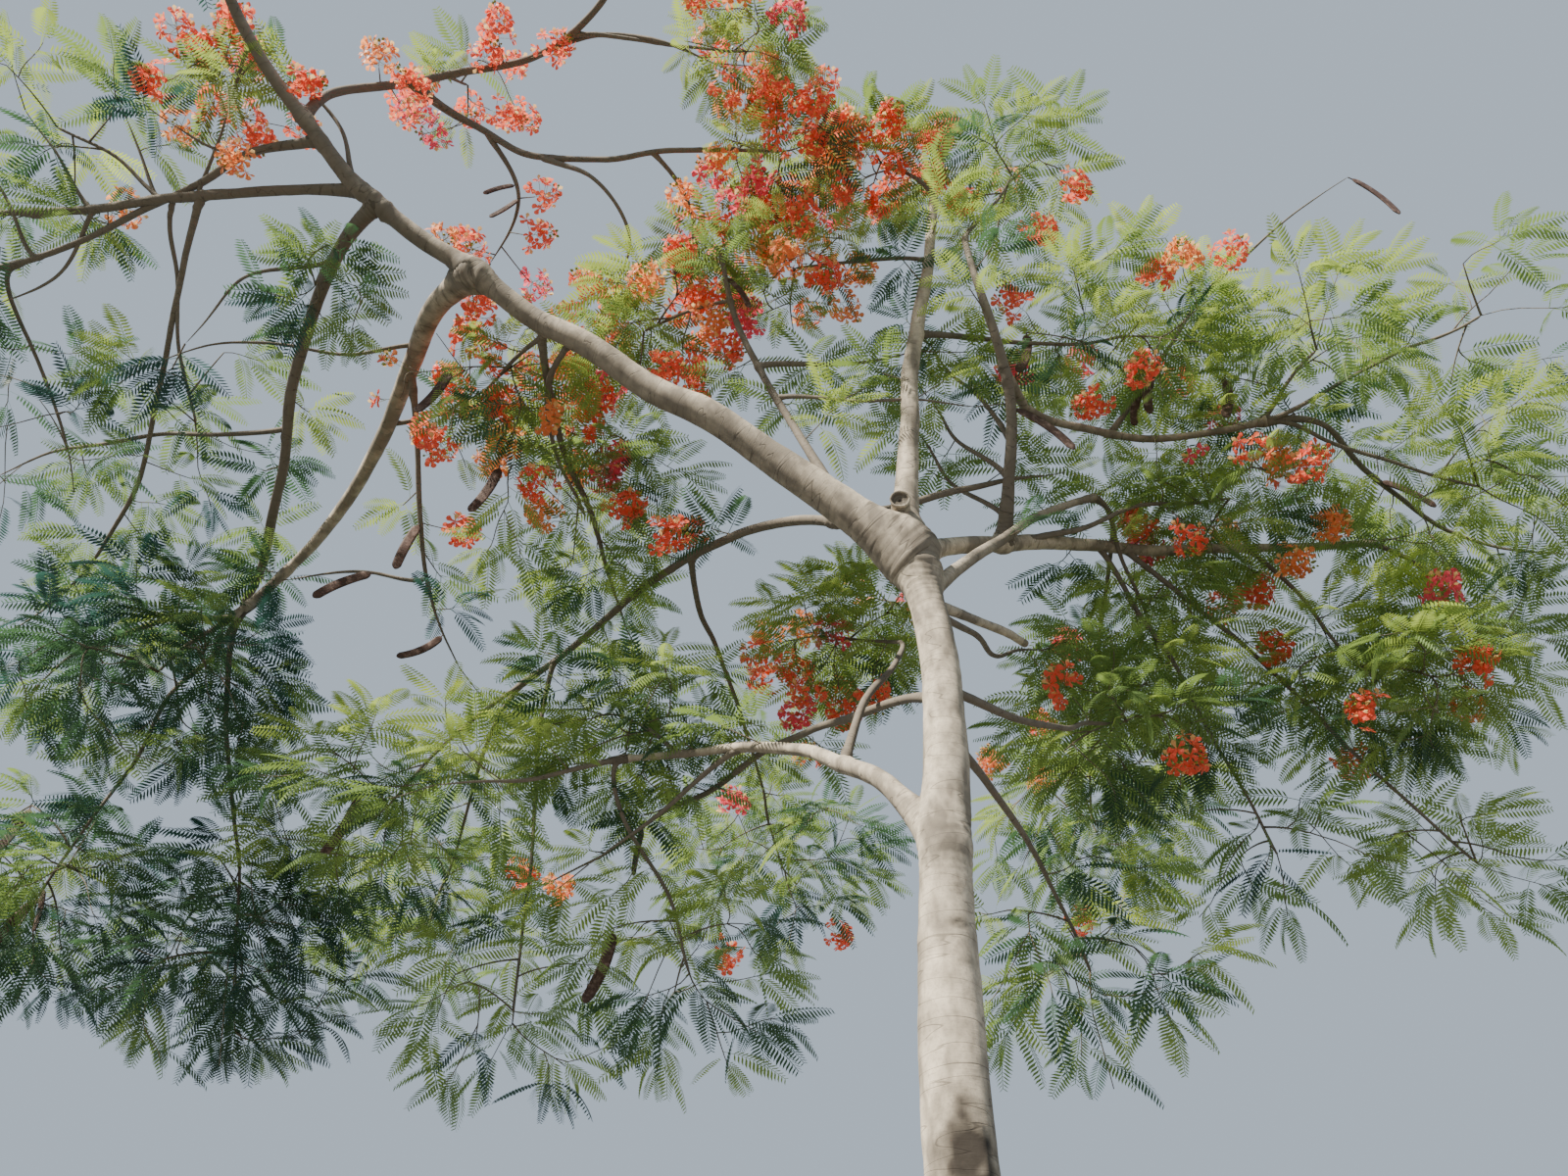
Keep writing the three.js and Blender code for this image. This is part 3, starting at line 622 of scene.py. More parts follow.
def through(values, t):
    """The value at t on the straight line or parabola through two or three evenly spaced values."""
    if len(values) == 2:
        return values[0] + (values[1] - values[0]) * t
    a, b, c = values
    return a * (2 * t - 1) * (t - 1) + b * 4 * t * (1 - t) + c * t * (2 * t - 1)


def direction(heading, pitch):
    """Directions with headings and pitches in degrees."""
    heading, pitch = np.radians(heading), np.radians(pitch)
    level = np.cos(pitch)
    return np.stack([np.cos(heading) * level, np.sin(heading) * level, np.sin(pitch)], -1)


def run(start, reach, heading, pitch, steps):
    """Points in even steps along a run that turns and climbs as its heading and pitch say."""
    t = (np.arange(steps) + 0.5) / steps
    moves = direction(through(heading, t), through(pitch, t)) * reach / steps
    return np.vstack([start, start + np.cumsum(moves, axis=0)])


def unit(vectors):
    """The same directions with length 1."""
    return vectors / np.maximum(np.linalg.norm(vectors, axis=-1, keepdims=True), 1e-9)


def spline(points, places):
    """Points on the smooth line through evenly numbered points, at places counted in their steps."""
    low = np.clip(np.floor(places).astype(int), 0, len(points) - 2)
    t = (places - low)[:, None]
    ends = np.vstack([2 * points[0] - points[1], points, 2 * points[-1] - points[-2]])
    a, b, c, d = (ends[low + k] for k in range(4))
    return 0.5 * (2 * b + (c - a) * t + (2 * a - 5 * b + 4 * c - d) * t**2 + (3 * b - a - 3 * c + d) * t**3)


def grain(places, size, seed):
    """Smooth noise between -1 and 1 at places, with lumps of the given size."""
    cell = places / size
    low = np.floor(cell).astype(np.int64)
    part = cell - low
    part = part * part * (3 - 2 * part)
    total = np.zeros(len(places))
    for corner in itertools.product((0, 1), repeat=3):
        x, y, z = (low + corner).T
        mixed = (x * 73856093 ^ y * 19349663 ^ z * 83492791 ^ (seed * 2654435761)) & 0x7FFFFFFF
        mixed = ((mixed ^ (mixed >> 13)) * 1274126177) & 0x7FFFFFFF
        mixed = mixed ^ (mixed >> 16)
        weight = np.prod(np.where(corner, part, 1 - part), axis=1)
        total += weight * ((mixed & 0xFFFF) / 32767.5 - 1)
    return total


class Limb:
    """A trunk, bough, fine limb or stem: its centre line in even steps and its radii."""

    def __init__(self, name, parent, at, points, radii, base, thinning=0.0):
        self.name, self.parent, self.at = name, parent, at
        self.points, self.radii, self.base, self.thinning = points, radii, base, thinning
        self.steps = len(points) - 1
        self.reach = np.sum(np.linalg.norm(np.diff(points, axis=0), axis=1))
        self.shift = np.zeros(3)
        if parent:
            self.shift = parent.smooth(np.array([at]))[0] - points[0]

    def place(self, share):
        """The point at a share of the way along, on the straight steps that the solid has."""
        k = share * self.steps
        low = min(int(k), self.steps - 1)
        return self.points[low] + (self.points[low + 1] - self.points[low]) * (k - low)

    def smooth(self, shares):
        """Points on the smooth centre line, which grows out of the parent's own smooth line."""
        shares = np.asarray(shares, float)
        line = spline(self.points, shares * self.steps) + self.shift * (1 - shares[:, None])
        if self.parent is None:
            return line
        # A limb at the end of another first goes on as that one does, and turns off by and by.
        ahead = unit(np.diff(self.parent.smooth([self.at - back for back in PARENT_WAY]), axis=0)[0])
        turn = ahead - unit(self.points[1] - self.points[0])
        carry = 0 if self.parent.parent is None else CARRY_ON if self.at > PARENT_END else CARRY_ASIDE
        line += turn * (carry * self.reach * shares * (1 - shares) ** 3)[:, None]
        own = sum(self.name.encode())
        far = shares * self.reach
        spots = [np.stack([far, 0 * far + own, 0 * far + k], -1) for k in range(3)]
        bends = [grain(spot, SWAY_LENGTH, SWAY_SEED) for spot in spots]
        free = np.sin(np.pi * shares) * min(1, self.reach / FULL_SWAY_REACH)
        sway = SWAY if self.base > SLIM else SLIM_SWAY
        return line + sway * free[:, None] * np.stack(bends, -1)

    def radius(self, shares):
        """Radii at shares of the way along, thinner towards an end that thins out."""
        even = np.interp(shares, np.linspace(0, 1, self.steps + 1), self.radii)
        end = np.clip((shares - THINNING_FROM) / (1 - THINNING_FROM), 0, 1)
        return even * (1 - self.thinning * end**THINNING_CURVE)


def tapering(points, base, tip, collar=True):
    """Radii of a limb that tapers evenly, with a swollen collar where it leaves its parent."""
    t = np.linspace(0, 1, len(points))
    along = t * np.sum(np.linalg.norm(np.diff(points, axis=0), axis=1))
    swell = COLLAR_SWELL * np.exp(-along / (COLLAR_FADE * base)) if collar else 0
    return (base + (tip - base) * t) / 2 * (1 + swell)


def trunk_centre(z):
    """The trunk's centre at heights: upright, then bowed to one side."""
    s = np.maximum(0, (z - BOW_START) / BOW_RISE)
    return np.stack([BOW * np.sin(np.pi * s * s), 0 * z, z], -1)


def trunk_radius(z):
    """The trunk's radius at heights: its taper, the swell into the fork and the root flare."""
    swell = FORK_SWELL * np.exp((z - FORK_HEIGHT) / FORK_SWELL_RISE)
    return (GROUND_DIAMETER - TAPER * z) / 2 + swell + FLARE * np.exp(-z / FLARE_FADE)


@functools.lru_cache(maxsize=None)
def skeleton():
    """The trunk, boughs, fine limbs and stems by name, as the source's rule places them."""
    heights = np.linspace(0, FORK_HEIGHT, TRUNK_STEPS + 1)
    trunk = Limb("trunk", None, 0, trunk_centre(heights), trunk_radius(heights), GROUND_DIAMETER)
    limbs = {"trunk": trunk}
    for row in BOUGHS + FINE_LIMBS:
        parent, base = limbs[row.parent], row.base * MM
        steps = max(2, round(row.reach * MM / BOUGH_STEP))
        points = run(parent.place(row.at), row.reach * MM, row.heading, row.pitch, steps)
        thinning = END_THINNING if row in FINE_LIMBS else 0.0
        radii = tapering(points, base, row.tip * MM)
        limbs[row.name] = Limb(row.name, parent, row.at, points, radii, base, thinning)
    stems = {}
    for mass in MASSES:
        parent, base = limbs[mass.limb], mass.base * MM
        steps = max(2, int(mass.reach * MM / STEM_STEP + 0.5))
        points = run(parent.place(mass.at), mass.reach * MM, mass.heading, mass.pitch, steps)
        radii = tapering(points, base, STEM_TIP, collar=False) * np.linspace(1, STEM_THINNING, len(points))
        stems[mass.name] = Limb(mass.name, parent, mass.at, points, radii, base)
    return limbs, stems


def surface_distance(places, limb, steps=None):
    """How far places are from a limb's surface, or from that of its first steps alone."""
    least = np.full(len(places), np.inf)
    for a, b, ra, rb in zip(limb.points[:steps], limb.points[1:], limb.radii[:steps], limb.radii[1:]):
        step = b - a
        t = np.clip((places - a) @ step / (step @ step), 0, 1)
        gap = np.linalg.norm(places - a - t[:, None] * step, axis=1) - (ra + (rb - ra) * t)
        least = np.minimum(least, gap)
    return least


def clearance(places, own=None):
    """How far places are from the nearest bough, or stem of another mass."""
    limbs, stems = skeleton()
    boughs = [limbs["trunk"]] + [limbs[row.name] for row in BOUGHS]
    others = [stem for name, stem in stems.items() if name != own]
    return np.min([surface_distance(places, limb) for limb in boughs + others], axis=0)


def in_ball(places, m, slack=1.0):
    """Whether places lie in the flattened ball round a mass's stem tip."""
    _, stems = skeleton()
    spread = MASSES[m].spread * MM
    offset = places - stems[MASSES[m].name].points[-1]
    level = np.hypot(offset[:, 0], offset[:, 1]) / spread
    return np.hypot(level, offset[:, 2] / (spread * FLATNESS)) <= slack


def in_space(places, m):
    """Whether places lie in a mass's own space: its ball, cut by a plane towards each other mass."""
    _, stems = skeleton()
    centres = np.array([stem.points[-1] for stem in stems.values()])
    spreads = np.array([mass.spread for mass in MASSES]) * MM
    inside = in_ball(places, m)
    for n in range(len(MASSES)):
        if n == m:
            continue
        away = centres[n] - centres[m]
        distance = np.linalg.norm(away)
        share = spreads[m] / (spreads[m] + spreads[n])
        inside &= (places - centres[m]) @ away / distance < distance * share - CELL_GAP
    return inside


def hiding(places):
    """Whether places lie close in front of one of the clear limbs, as the photograph's camera sees it."""
    limbs, _ = skeleton()
    eye = np.array(CAMERA_PLACE)
    out = places - eye
    found = np.zeros(len(places), bool)
    for name, ends in CLEAR.items():
        limb = limbs[name]
        shares = np.linspace(*ends, int(max(1, limb.reach) * SAMPLES_PER_METRE))
        line = limb.smooth(shares) - eye
        far = np.linalg.norm(line, axis=1)
        along = out @ (line / far[:, None]).T
        gap = np.sqrt(np.maximum(np.sum(out**2, axis=1)[:, None] - along**2, 0))
        before = (along < far) & (along > far - CLEAR_DEPTH)
        found |= (before & (gap < CLEAR_ROOM + limb.radius(shares))).any(axis=1)
    return found


def close_points(points):
    """Points spaced closely along a line of points, without the first."""
    close = []
    for a, b in zip(points[:-1], points[1:]):
        count = math.ceil(np.linalg.norm(b - a) / SAMPLE_STEP)
        close += [a + (b - a) * k / count for k in range(1, count + 1)]
    return np.array(close)


def first_twigs(m):
    """The twigs that the source's rule grows from a mass's stem: heading, line and place on the stem."""
    mass = MASSES[m]
    stem = skeleton()[1][mass.name]
    draws = generator(FIRST_SEED + m)

    def draw(low, high):
        return low + (high - low) * next(draws)

    spread = mass.spread * MM
    zone = min(TWIG_ZONE, TWIG_REACH * spread / (mass.reach * MM))
    first_heading = draw(0, 360)
    twigs = []
    for i in range(mass.kind["twigs"]):
        share = 1 - zone * (1 - (i + 1) / mass.kind["twigs"])
        heading = first_heading + i * GOLDEN_ANGLE
        pitch = draw(*TWIG_PITCH)
        size = TWIG_REACH * spread * draw(*TWIG_SHARE)
        straight = run(stem.place(share), size, (heading, heading), (pitch, pitch - TWIG_DROOP), 1)
        tested = close_points(straight)
        if not (in_space(tested, m).all() and (clearance(tested, mass.name) > LIMB_GAP).all()):
            continue
        # The source draws three numbers for each leaf of the twig.
        for _ in range(3 * mass.kind["leaves"]):
            next(draws)
        root = stem.smooth([share])[0]
        line = run(root, size, (heading, heading), (pitch, pitch - TWIG_DROOP), TWIG_POINTS - 1)
        twigs.append((heading, line, i))
    return twigs


def bezier(corners, count):
    """Points along a curve from its four guiding points."""
    t = np.linspace(0, 1, count)[:, None]
    a, b, c, d = corners
    return a * (1 - t) ** 3 + 3 * b * t * (1 - t) ** 2 + 3 * c * t**2 * (1 - t) + d * t**3


class Growth:
    """Everything that grows in the masses: twig lines with radii, and where sprays and racemes sit."""

    def __init__(self):
        self.lines, self.radii, self.sprays, self.racemes, self.pods = [], [], [], [], []


def pick_green(greens, drawn, height):
    """The green of a spray: dealt by the mass's shares, lighter above with painted light and darker below with
    painted shade.
    """
    drawn = np.clip(0.8 * drawn + 0.2 * (0.5 - 0.6 * height), 0, 0.999)
    return int(np.searchsorted(np.cumsum(greens), drawn))


def targets(m, room, random):
    """Places for sprays in a mass's space, no two nearer than the room that each takes."""
    mass = MASSES[m]
    centre = skeleton()[1][mass.name].points[-1]
    spread = mass.spread * MM
    inner = max(LEAST_INNER, 1 - SPRAY_INSET / spread)
    offsets = unit(random.normal(size=(TARGET_TRIES, 3))) * random.random((TARGET_TRIES, 1)) ** (1 / 3)
    places = centre + offsets * spread * inner * np.array([1, 1, FLATNESS])
    # Twigs end at like heights, which is what gives the crown its level layers.
    first = random.uniform(0, LAYER)
    level = np.round((places[:, 2] - first) / LAYER) * LAYER + first
    places[:, 2] += LAYERED * (level - places[:, 2])
    within = in_space(places, m) & (clearance(places, mass.name) > LIMB_GAP)
    places = places[within & (places > LOW + EDGE_ROOM).all(axis=1) & (places < HIGH - EDGE_ROOM).all(axis=1)]
    needed = (RACEME_ROOM if mass.kind is FLOWERING else room) / mass.fullness ** (1 / 3)
    kept = []
    for place in places:
        if not kept or np.min(np.linalg.norm(np.array(kept) - place, axis=1)) > needed:
            kept.append(place)
    return np.array(kept)


def grow_mass(m, room, growth):
    """Twigs that reach from a mass's stem and first twigs to every spray of it."""
    mass = MASSES[m]
    limbs, stems = skeleton()
    stem = stems[mass.name]
    ball = mass.spread * MM * np.array([1, 1, FLATNESS])
    random = np.random.default_rng(FIRST_SEED + m)
    # A knot of the twig work: where the next twig may leave, its heading, and the twig that it is on.
    shares = np.linspace(*STEM_KNOTS)
    knots = list(stem.smooth(shares))
    ways = list(unit(np.gradient(stem.smooth(shares), axis=0)))
    owners = [-1] * len(knots)
    lines, parents = [], []

    def keep(line, owner, least):
        lines.append(line)
        parents.append((owner, least))
        turns = unit(np.gradient(line, axis=0))
        for k in range(2, len(line)):
            knots.append(line[k])
            ways.append(turns[k])
            owners.append(len(lines) - 1)

    for heading, line, i in first_twigs(m):
        keep(line, -1, FIRST_TWIG)
        if i < mass.pods:
            growth.pods.append((line[-1], heading))
    for row in FINE_LIMBS:
        limb = limbs[row.name]
        line = limb.smooth(np.linspace(*FINE_LIMB_KNOTS))
        for place, way in zip(line, unit(np.gradient(line, axis=0))):
            if in_space(place[None], m)[0]:
                knots.append(place)
                ways.append(way)
                owners.append(-1)
    centre = stem.points[-1]
    places = targets(m, room, random)
    if not len(places):
        return
    nearness = [np.min(np.linalg.norm(np.array(knots) - place, axis=1)) for place in places]
    for place in places[np.argsort(nearness)]:
        gaps = place - np.array(knots)
        distance = np.linalg.norm(gaps, axis=1)
        turn = 1 - np.sum(gaps * np.array(ways), axis=1) / np.maximum(distance, 1e-6)
        best = int(np.argmin(distance * (1 + TURN_COST * turn)))
        start, way, reach = knots[best], ways[best], distance[best]
        outward = unit(place - centre)
        end_way = unit(unit(gaps[best]) + 0.5 * outward + np.array([0, 0, random.uniform(-0.25, 0.5)]))
        early = unit(0.6 * way + unit(gaps[best]) + 0.25 * random.normal(size=3))
        first, last = start + early * reach * TWIG_BENDS[0], place - end_way * reach * TWIG_BENDS[1]
        line = bezier((start, first, last, place), TWIG_POINTS)
        if (clearance(line[2:], mass.name) < TWIG_CLEARANCE).any():
            continue
        keep(line, owners[best], 0)
        # Sprays high in their mass get lighter greens, painted light, and low ones darker greens, painted
        # shade.
        green = pick_green(mass.greens, random.random(), (place[2] - centre[2]) / ball[2])
        # Racemes open at the outer ends more often than inside.
        outer = np.sum(((place - centre) / ball) ** 2)
        flowering = random.random() < mass.racemes * (0.55 + 0.9 * outer)
        (growth.racemes if flowering else growth.sprays).append((m, line, green, int(random.integers(2**31))))
    loads = np.ones(len(lines))
    for k in range(len(lines) - 1, -1, -1):
        if parents[k][0] >= 0:
            loads[parents[k][0]] += loads[k]
    for line, load, (_, least) in zip(lines, loads, parents):
        base = max(SPRAY_TWIG * load**TWIG_THICKENING, least)
        growth.lines.append(line)
        growth.radii.append(np.linspace(base, max(SPRAY_TWIG * 0.7, base * 0.5), TWIG_POINTS))


def grow_along(growth):
    """Short shoots with a spray each along the leafy limbs, and racemes at the flowering ends."""
    limbs, stems = skeleton()

    def shoot(line):
        growth.lines.append(line)
        growth.radii.append(np.linspace(SPRAY_TWIG * 1.5, SPRAY_TWIG * 0.8, TWIG_POINTS))

    for row, name in enumerate([*LEAFY_FROM, *FLOWERING_ENDS, *LEAFY_STEMS]):
        random = np.random.default_rng(FIRST_SEED + 100 + row)
        limb = stems[name] if name in LEAFY_STEMS else limbs[name]
        flowers = name in FLOWERING_ENDS and row >= len(LEAFY_FROM)
        if flowers:
            first, count = END_FLOWERING_FROM, END_RACEMES
        else:
            first = LEAFY_STEMS[name] if name in LEAFY_STEMS else LEAFY_FROM[name]
            count = 1 + int(limb.reach * (1 - first) / LIMB_SPRAY_STEP)
        for share in np.linspace(1, first, count):
            start, nearly = limb.smooth([share, share - 0.03])
            ahead = unit(start - nearly)
            aside = unit(np.cross(ahead, random.normal(size=3)))
            aside[2] = 0.6 * abs(aside[2])
            way = unit(ahead + aside * (0.3 if share == 1 else 1.6))
            end = start + way * random.uniform(*SHOOT_REACH)
            line = bezier((start, start + way * 0.06, end - np.array([0, 0, 0.03]), end), TWIG_POINTS)
            shoot(line)
            # The leaves on the left get darker greens: painted shade of the crown over them.
            green = pick_green(DEEP if start[0] < SHADED_X else MIXED, random.random(), 0.3)
            made = growth.racemes if flowers else growth.sprays
            made.append((-1, line, green, int(random.integers(2**31))))
    for row, (name, share, heading, pitch, reach) in enumerate(OPEN_RACEMES):
        start, way = limbs[name].smooth([share])[0], direction(heading, pitch)
        first, last = start + way * reach * 0.3, start + way * reach * 0.7
        line = bezier((start, first, last, start + way * reach), TWIG_POINTS)
        shoot(line)
        growth.racemes.append((-1, line, 0, FIRST_SEED + row))


@functools.lru_cache(maxsize=None)
def grown(room):
    """All twigs, sprays, racemes and pods of the crown, grown once."""
    growth = Growth()
    for m in range(len(MASSES)):
        grow_mass(m, room, growth)
    grow_along(growth)
    return growth


def tubes(lines, radii, sides):
    """Rings round each of several lines of as many points: places and outward directions."""
    along = unit(np.gradient(lines, axis=1))
    steep = np.abs(along[:, 0, 2]) > 0.9
    side = np.cross(np.where(steep[:, None], (0.0, 1.0, 0.0), (0.0, 0.0, 1.0)), along[:, 0])
    frames = []
    for k in range(lines.shape[1]):
        side = unit(side - along[:, k] * np.sum(side * along[:, k], axis=-1, keepdims=True))
        frames.append(side)
    side = np.stack(frames, axis=1)[:, :, None]
    other = np.cross(along[:, :, None], side)
    turn = np.arange(sides)[:, None] * 2 * np.pi / sides
    outward = side * np.cos(turn) + other * np.sin(turn)
    return lines[:, :, None] + radii[:, :, None, None] * outward, outward


def tube_faces(count, rings, sides):
    """Quads between the rings of several tubes, and a face that closes each end."""
    index = np.arange(count * rings * sides).reshape(count, rings, sides)
    here, after = index, np.roll(index, -1, axis=2)
    walls = np.stack([here[:, :-1], after[:, :-1], after[:, 1:], here[:, 1:]], -1).reshape(-1, 4)
    return [walls, index[:, 0, ::-1].reshape(-1, sides), index[:, -1].reshape(-1, sides)]


def piece(name, places, faces, material, replaced=(), marks=None):
    """A mesh piece from places and faces, which rides on the tree's body."""
    mesh = bpy.data.meshes.new(name)
    mesh.vertices.add(len(places))
    mesh.vertices.foreach_set("co", places.astype(np.float32).ravel())
    corners = np.concatenate([group.ravel() for group in faces]).astype(np.int32)
    totals = np.concatenate([np.full(len(group), group.shape[1]) for group in faces])
    mesh.loops.add(len(corners))
    mesh.loops.foreach_set("vertex_index", corners)
    mesh.polygons.add(len(totals))
    mesh.polygons.foreach_set("loop_start", (np.cumsum(totals) - totals).astype(np.int32))
    mesh.update(calc_edges=True)
    mesh.polygons.foreach_set("use_smooth", np.full(len(totals), True))
    for mark, values in (marks or {}).items():
        kind, part = ("FLOAT", "value") if values.ndim == 1 else ("FLOAT_VECTOR", "vector")
        mesh.attributes.new(mark, kind, "POINT").data.foreach_set(part, values.astype(np.float32).ravel())
    mesh.materials.append(material)
    made = bpy.data.objects.new(name, mesh)
    bpy.context.scene.collection.objects.link(made)
    settle(made, replaced)


def settle(made, replaced):
    """Ties a finished piece to the tree's body, and hides the solids that it stands for."""
    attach(made, BODY)
    if replaced:
        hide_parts(*replaced)


def add(tree, kind, sockets=None, **settings):
    """Adds a node: its sockets by name or number, each a value or what feeds it, and its own settings."""
    made = tree.nodes.new(kind)
    for name, value in settings.items():
        setattr(made, name, value)
    for name, value in (sockets or {}).items():
        if isinstance(value, bpy.types.Node):
            value = next(socket for socket in value.outputs if socket.enabled)
        if isinstance(value, bpy.types.NodeSocket):
            tree.links.new(value, made.inputs[name])
        else:
            made.inputs[name].default_value = value
    return made


def new_material(name):
    """An empty material, its node tree, and the place on the piece that its patterns read."""
    material = bpy.data.materials.new(name)
    material.use_nodes = True
    tree = material.node_tree
    tree.nodes.clear()
    return material, tree, add(tree, "ShaderNodeTexCoord").outputs["Object"]


def rgba(values):
    """A colour with full alpha, as a socket takes it."""
    return (*values, 1.0)


def bark_material(name, light, dark, crack, ring_size, mottle):
    """Smooth bark: pale skin mottled with tan and with painted dappled shade, fine lines across the limb,
    darker age with painted light and shade on the boughs, and dark scars with painted shade in the creases.
    """
    material, tree, place = new_material(name)
    round_limb = add(tree, "ShaderNodeAttribute", attribute_name="bark_place").outputs["Vector"]
    scar = add(tree, "ShaderNodeAttribute", attribute_name="scar").outputs["Fac"]
    age = add(tree, "ShaderNodeAttribute", attribute_name="age").outputs["Fac"]
    # Tan patches as large as the mottle, and flecks of 12 mm.
    patches = add(tree, NOISE, {"Vector": place, "Scale": 1 / mottle, "Detail": 4, "Roughness": 0.6})
    patches = add(tree, RANGE, {"Value": patches, "From Min": 0.36, "From Max": 0.68})
    flecks = add(tree, NOISE, {"Vector": place, "Scale": 1 / (12 * MM), "Detail": 2, "Roughness": 0.5})
    flecks = add(tree, RANGE, {"Value": flecks, "From Min": 0.5, "From Max": 0.75})
    flecks = add(tree, MATH, {0: flecks, 1: 0.3}, operation="MULTIPLY")
    # The skin splits across the limb, so the patterns are squeezed along it: fine rings, and hairlines
    # every few centimetres where a coarser noise passes its middle.
    squeezed = add(tree, "ShaderNodeMapping", {"Vector": round_limb, "Scale": (0.13, 0.13, 1.0)})
    rings = add(tree, NOISE, {"Vector": squeezed, "Scale": 1 / ring_size, "Detail": 4, "Roughness": 0.65})
    broad = {"Vector": squeezed, "Scale": 1 / (ring_size * 5), "Detail": 1, "Roughness": 0.5}
    coarse = add(tree, NOISE, broad)
    off = add(tree, MATH, {0: coarse, 1: 0.5}, operation="SUBTRACT")
    off = add(tree, MATH, {0: off}, operation="ABSOLUTE")
    hairlines = add(tree, RANGE, {"Value": off, "From Min": 0.012, "From Max": 0.002})
    fine = add(tree, RANGE, {"Value": rings, "From Min": 0.62, "From Max": 0.7})
    fine = add(tree, MATH, {0: fine, 1: 0.5}, operation="MULTIPLY")
    splits = add(tree, MATH, {0: fine, 1: hairlines}, operation="MAXIMUM")
    shown = add(tree, MATH, {0: splits, 1: 0.45}, operation="MULTIPLY")
    # Painted dappled shade: broad soft grey patches of painted shadow, stretched up and down the trunk, under
    # the smaller patches.
    upright = add(tree, "ShaderNodeMapping", {"Vector": place, "Scale": (1.0, 1.0, 0.5)})
    painted_dapples = add(tree, NOISE, {"Vector": upright, "Scale": 1 / (mottle * 2.4), "Detail": 3, "Roughness": 0.6})
    painted_dapples = add(tree, RANGE, {"Value": painted_dapples, "From Min": 0.40, "From Max": 0.58})
    painted_dapples = add(tree, MATH, {0: painted_dapples, 1: 0.8}, operation="MULTIPLY")
    patchy = add(tree, MATH, {0: patches, 1: 0.55}, operation="MULTIPLY")
    patches_and_painted_dapples = add(tree, MATH, {0: patchy, 1: painted_dapples}, operation="MAXIMUM")
    # Each mark is laid over the ones before it: tan patches with painted dappled shade, flecks, age with
    # painted light and shade, cracks, and scars with painted shade in the creases.
    tone = rgba(light)
    for share, tint in ((patches_and_painted_dapples, dark), (flecks, dark), (age, dark), (shown, crack), (scar, crack)):
        tone = add(tree, MIX, {0: share, 6: tone, 7: rgba(tint)}, data_type="RGBA")
    height = add(tree, MATH, {0: rings, 1: splits}, operation="SUBTRACT")
    bump = add(tree, BUMP, {"Strength": 0.4, "Distance": 3 * MM, "Height": height})
    dryness = add(tree, RANGE, {"Value": patches, "To Min": 0.72, "To Max": 0.92})
    looks = {"Base Color": tone, "Roughness": dryness, "Normal": bump, "IOR": 1.45, "Specular IOR Level": 0.3}
    add(tree, SHOWN, {"Surface": add(tree, SKIN, looks)})
    return material


def thin_material(name, tint, glow, roughness, size, share, sheen=0.0):
    """A thin leaf or petal: a skin with a soft gloss, and light that comes through from its other side."""
    material, tree, place = new_material(name)
    lumps = add(tree, NOISE, {"Vector": place, "Scale": 1 / size, "Detail": 2, "Roughness": 0.6})
    lumps = add(tree, RANGE, {"Value": lumps, "From Min": 0.35, "From Max": 0.65})
    darker = [0.72 * value for value in tint]
    tone = add(tree, MIX, {0: lumps, 6: rgba(darker), 7: rgba(tint)}, data_type="RGBA")
    bump = add(tree, BUMP, {"Strength": 0.2, "Distance": 2 * MM, "Height": lumps})
    looks = {"Base Color": tone, "Roughness": roughness, "Normal": bump, "IOR": 1.42, "Sheen Weight": sheen}
    through_leaf = add(tree, "ShaderNodeBsdfTranslucent", {"Color": rgba(glow)})
    both = add(tree, "ShaderNodeMixShader", {0: share, 1: add(tree, SKIN, looks), 2: through_leaf})
    add(tree, SHOWN, {"Surface": both})
    return material


def skin_rings(limb, spacing, turn):
    """A limb's rings before their relief: centre line, radii, distance along, places, outward directions."""
    shares = np.linspace(0, 1, max(6, int(limb.reach / spacing)))
    line, radii = limb.smooth(shares), limb.radius(shares)
    along = np.concatenate([[0], np.cumsum(np.linalg.norm(np.diff(line, axis=0), axis=1))])
    if limb.parent is None:
        heights = shares * FORK_HEIGHT
        line, radii = trunk_centre(heights), trunk_radius(heights)
        outward = np.stack([np.cos(turn), np.sin(turn), 0 * turn], -1)[None].repeat(len(line), axis=0)
        ridges = ROOT_RIDGE_DEPTH * np.cos(ROOT_RIDGES * turn) * np.exp(-heights / FLARE_FADE)[:, None]
        rings = line[:, None] + (radii[:, None] * (1 + ridges))[..., None] * outward
        return line, radii, along, rings, outward
    # The foot of a limb goes on into its parent.
    foot = np.linspace(1, 0, FOOT_RINGS + 1)[:-1, None] * FOOT_DEPTH * radii[0]
    line = np.vstack([line[0] - unit(line[1] - line[0]) * foot, line])
    radii = np.concatenate([np.full(len(foot), radii[0]), radii])
    along = np.concatenate([-foot[:, 0], along])
    rings, outward = (made[0] for made in tubes(line[None], radii[None], len(turn)))
    return line, radii, along, rings, outward


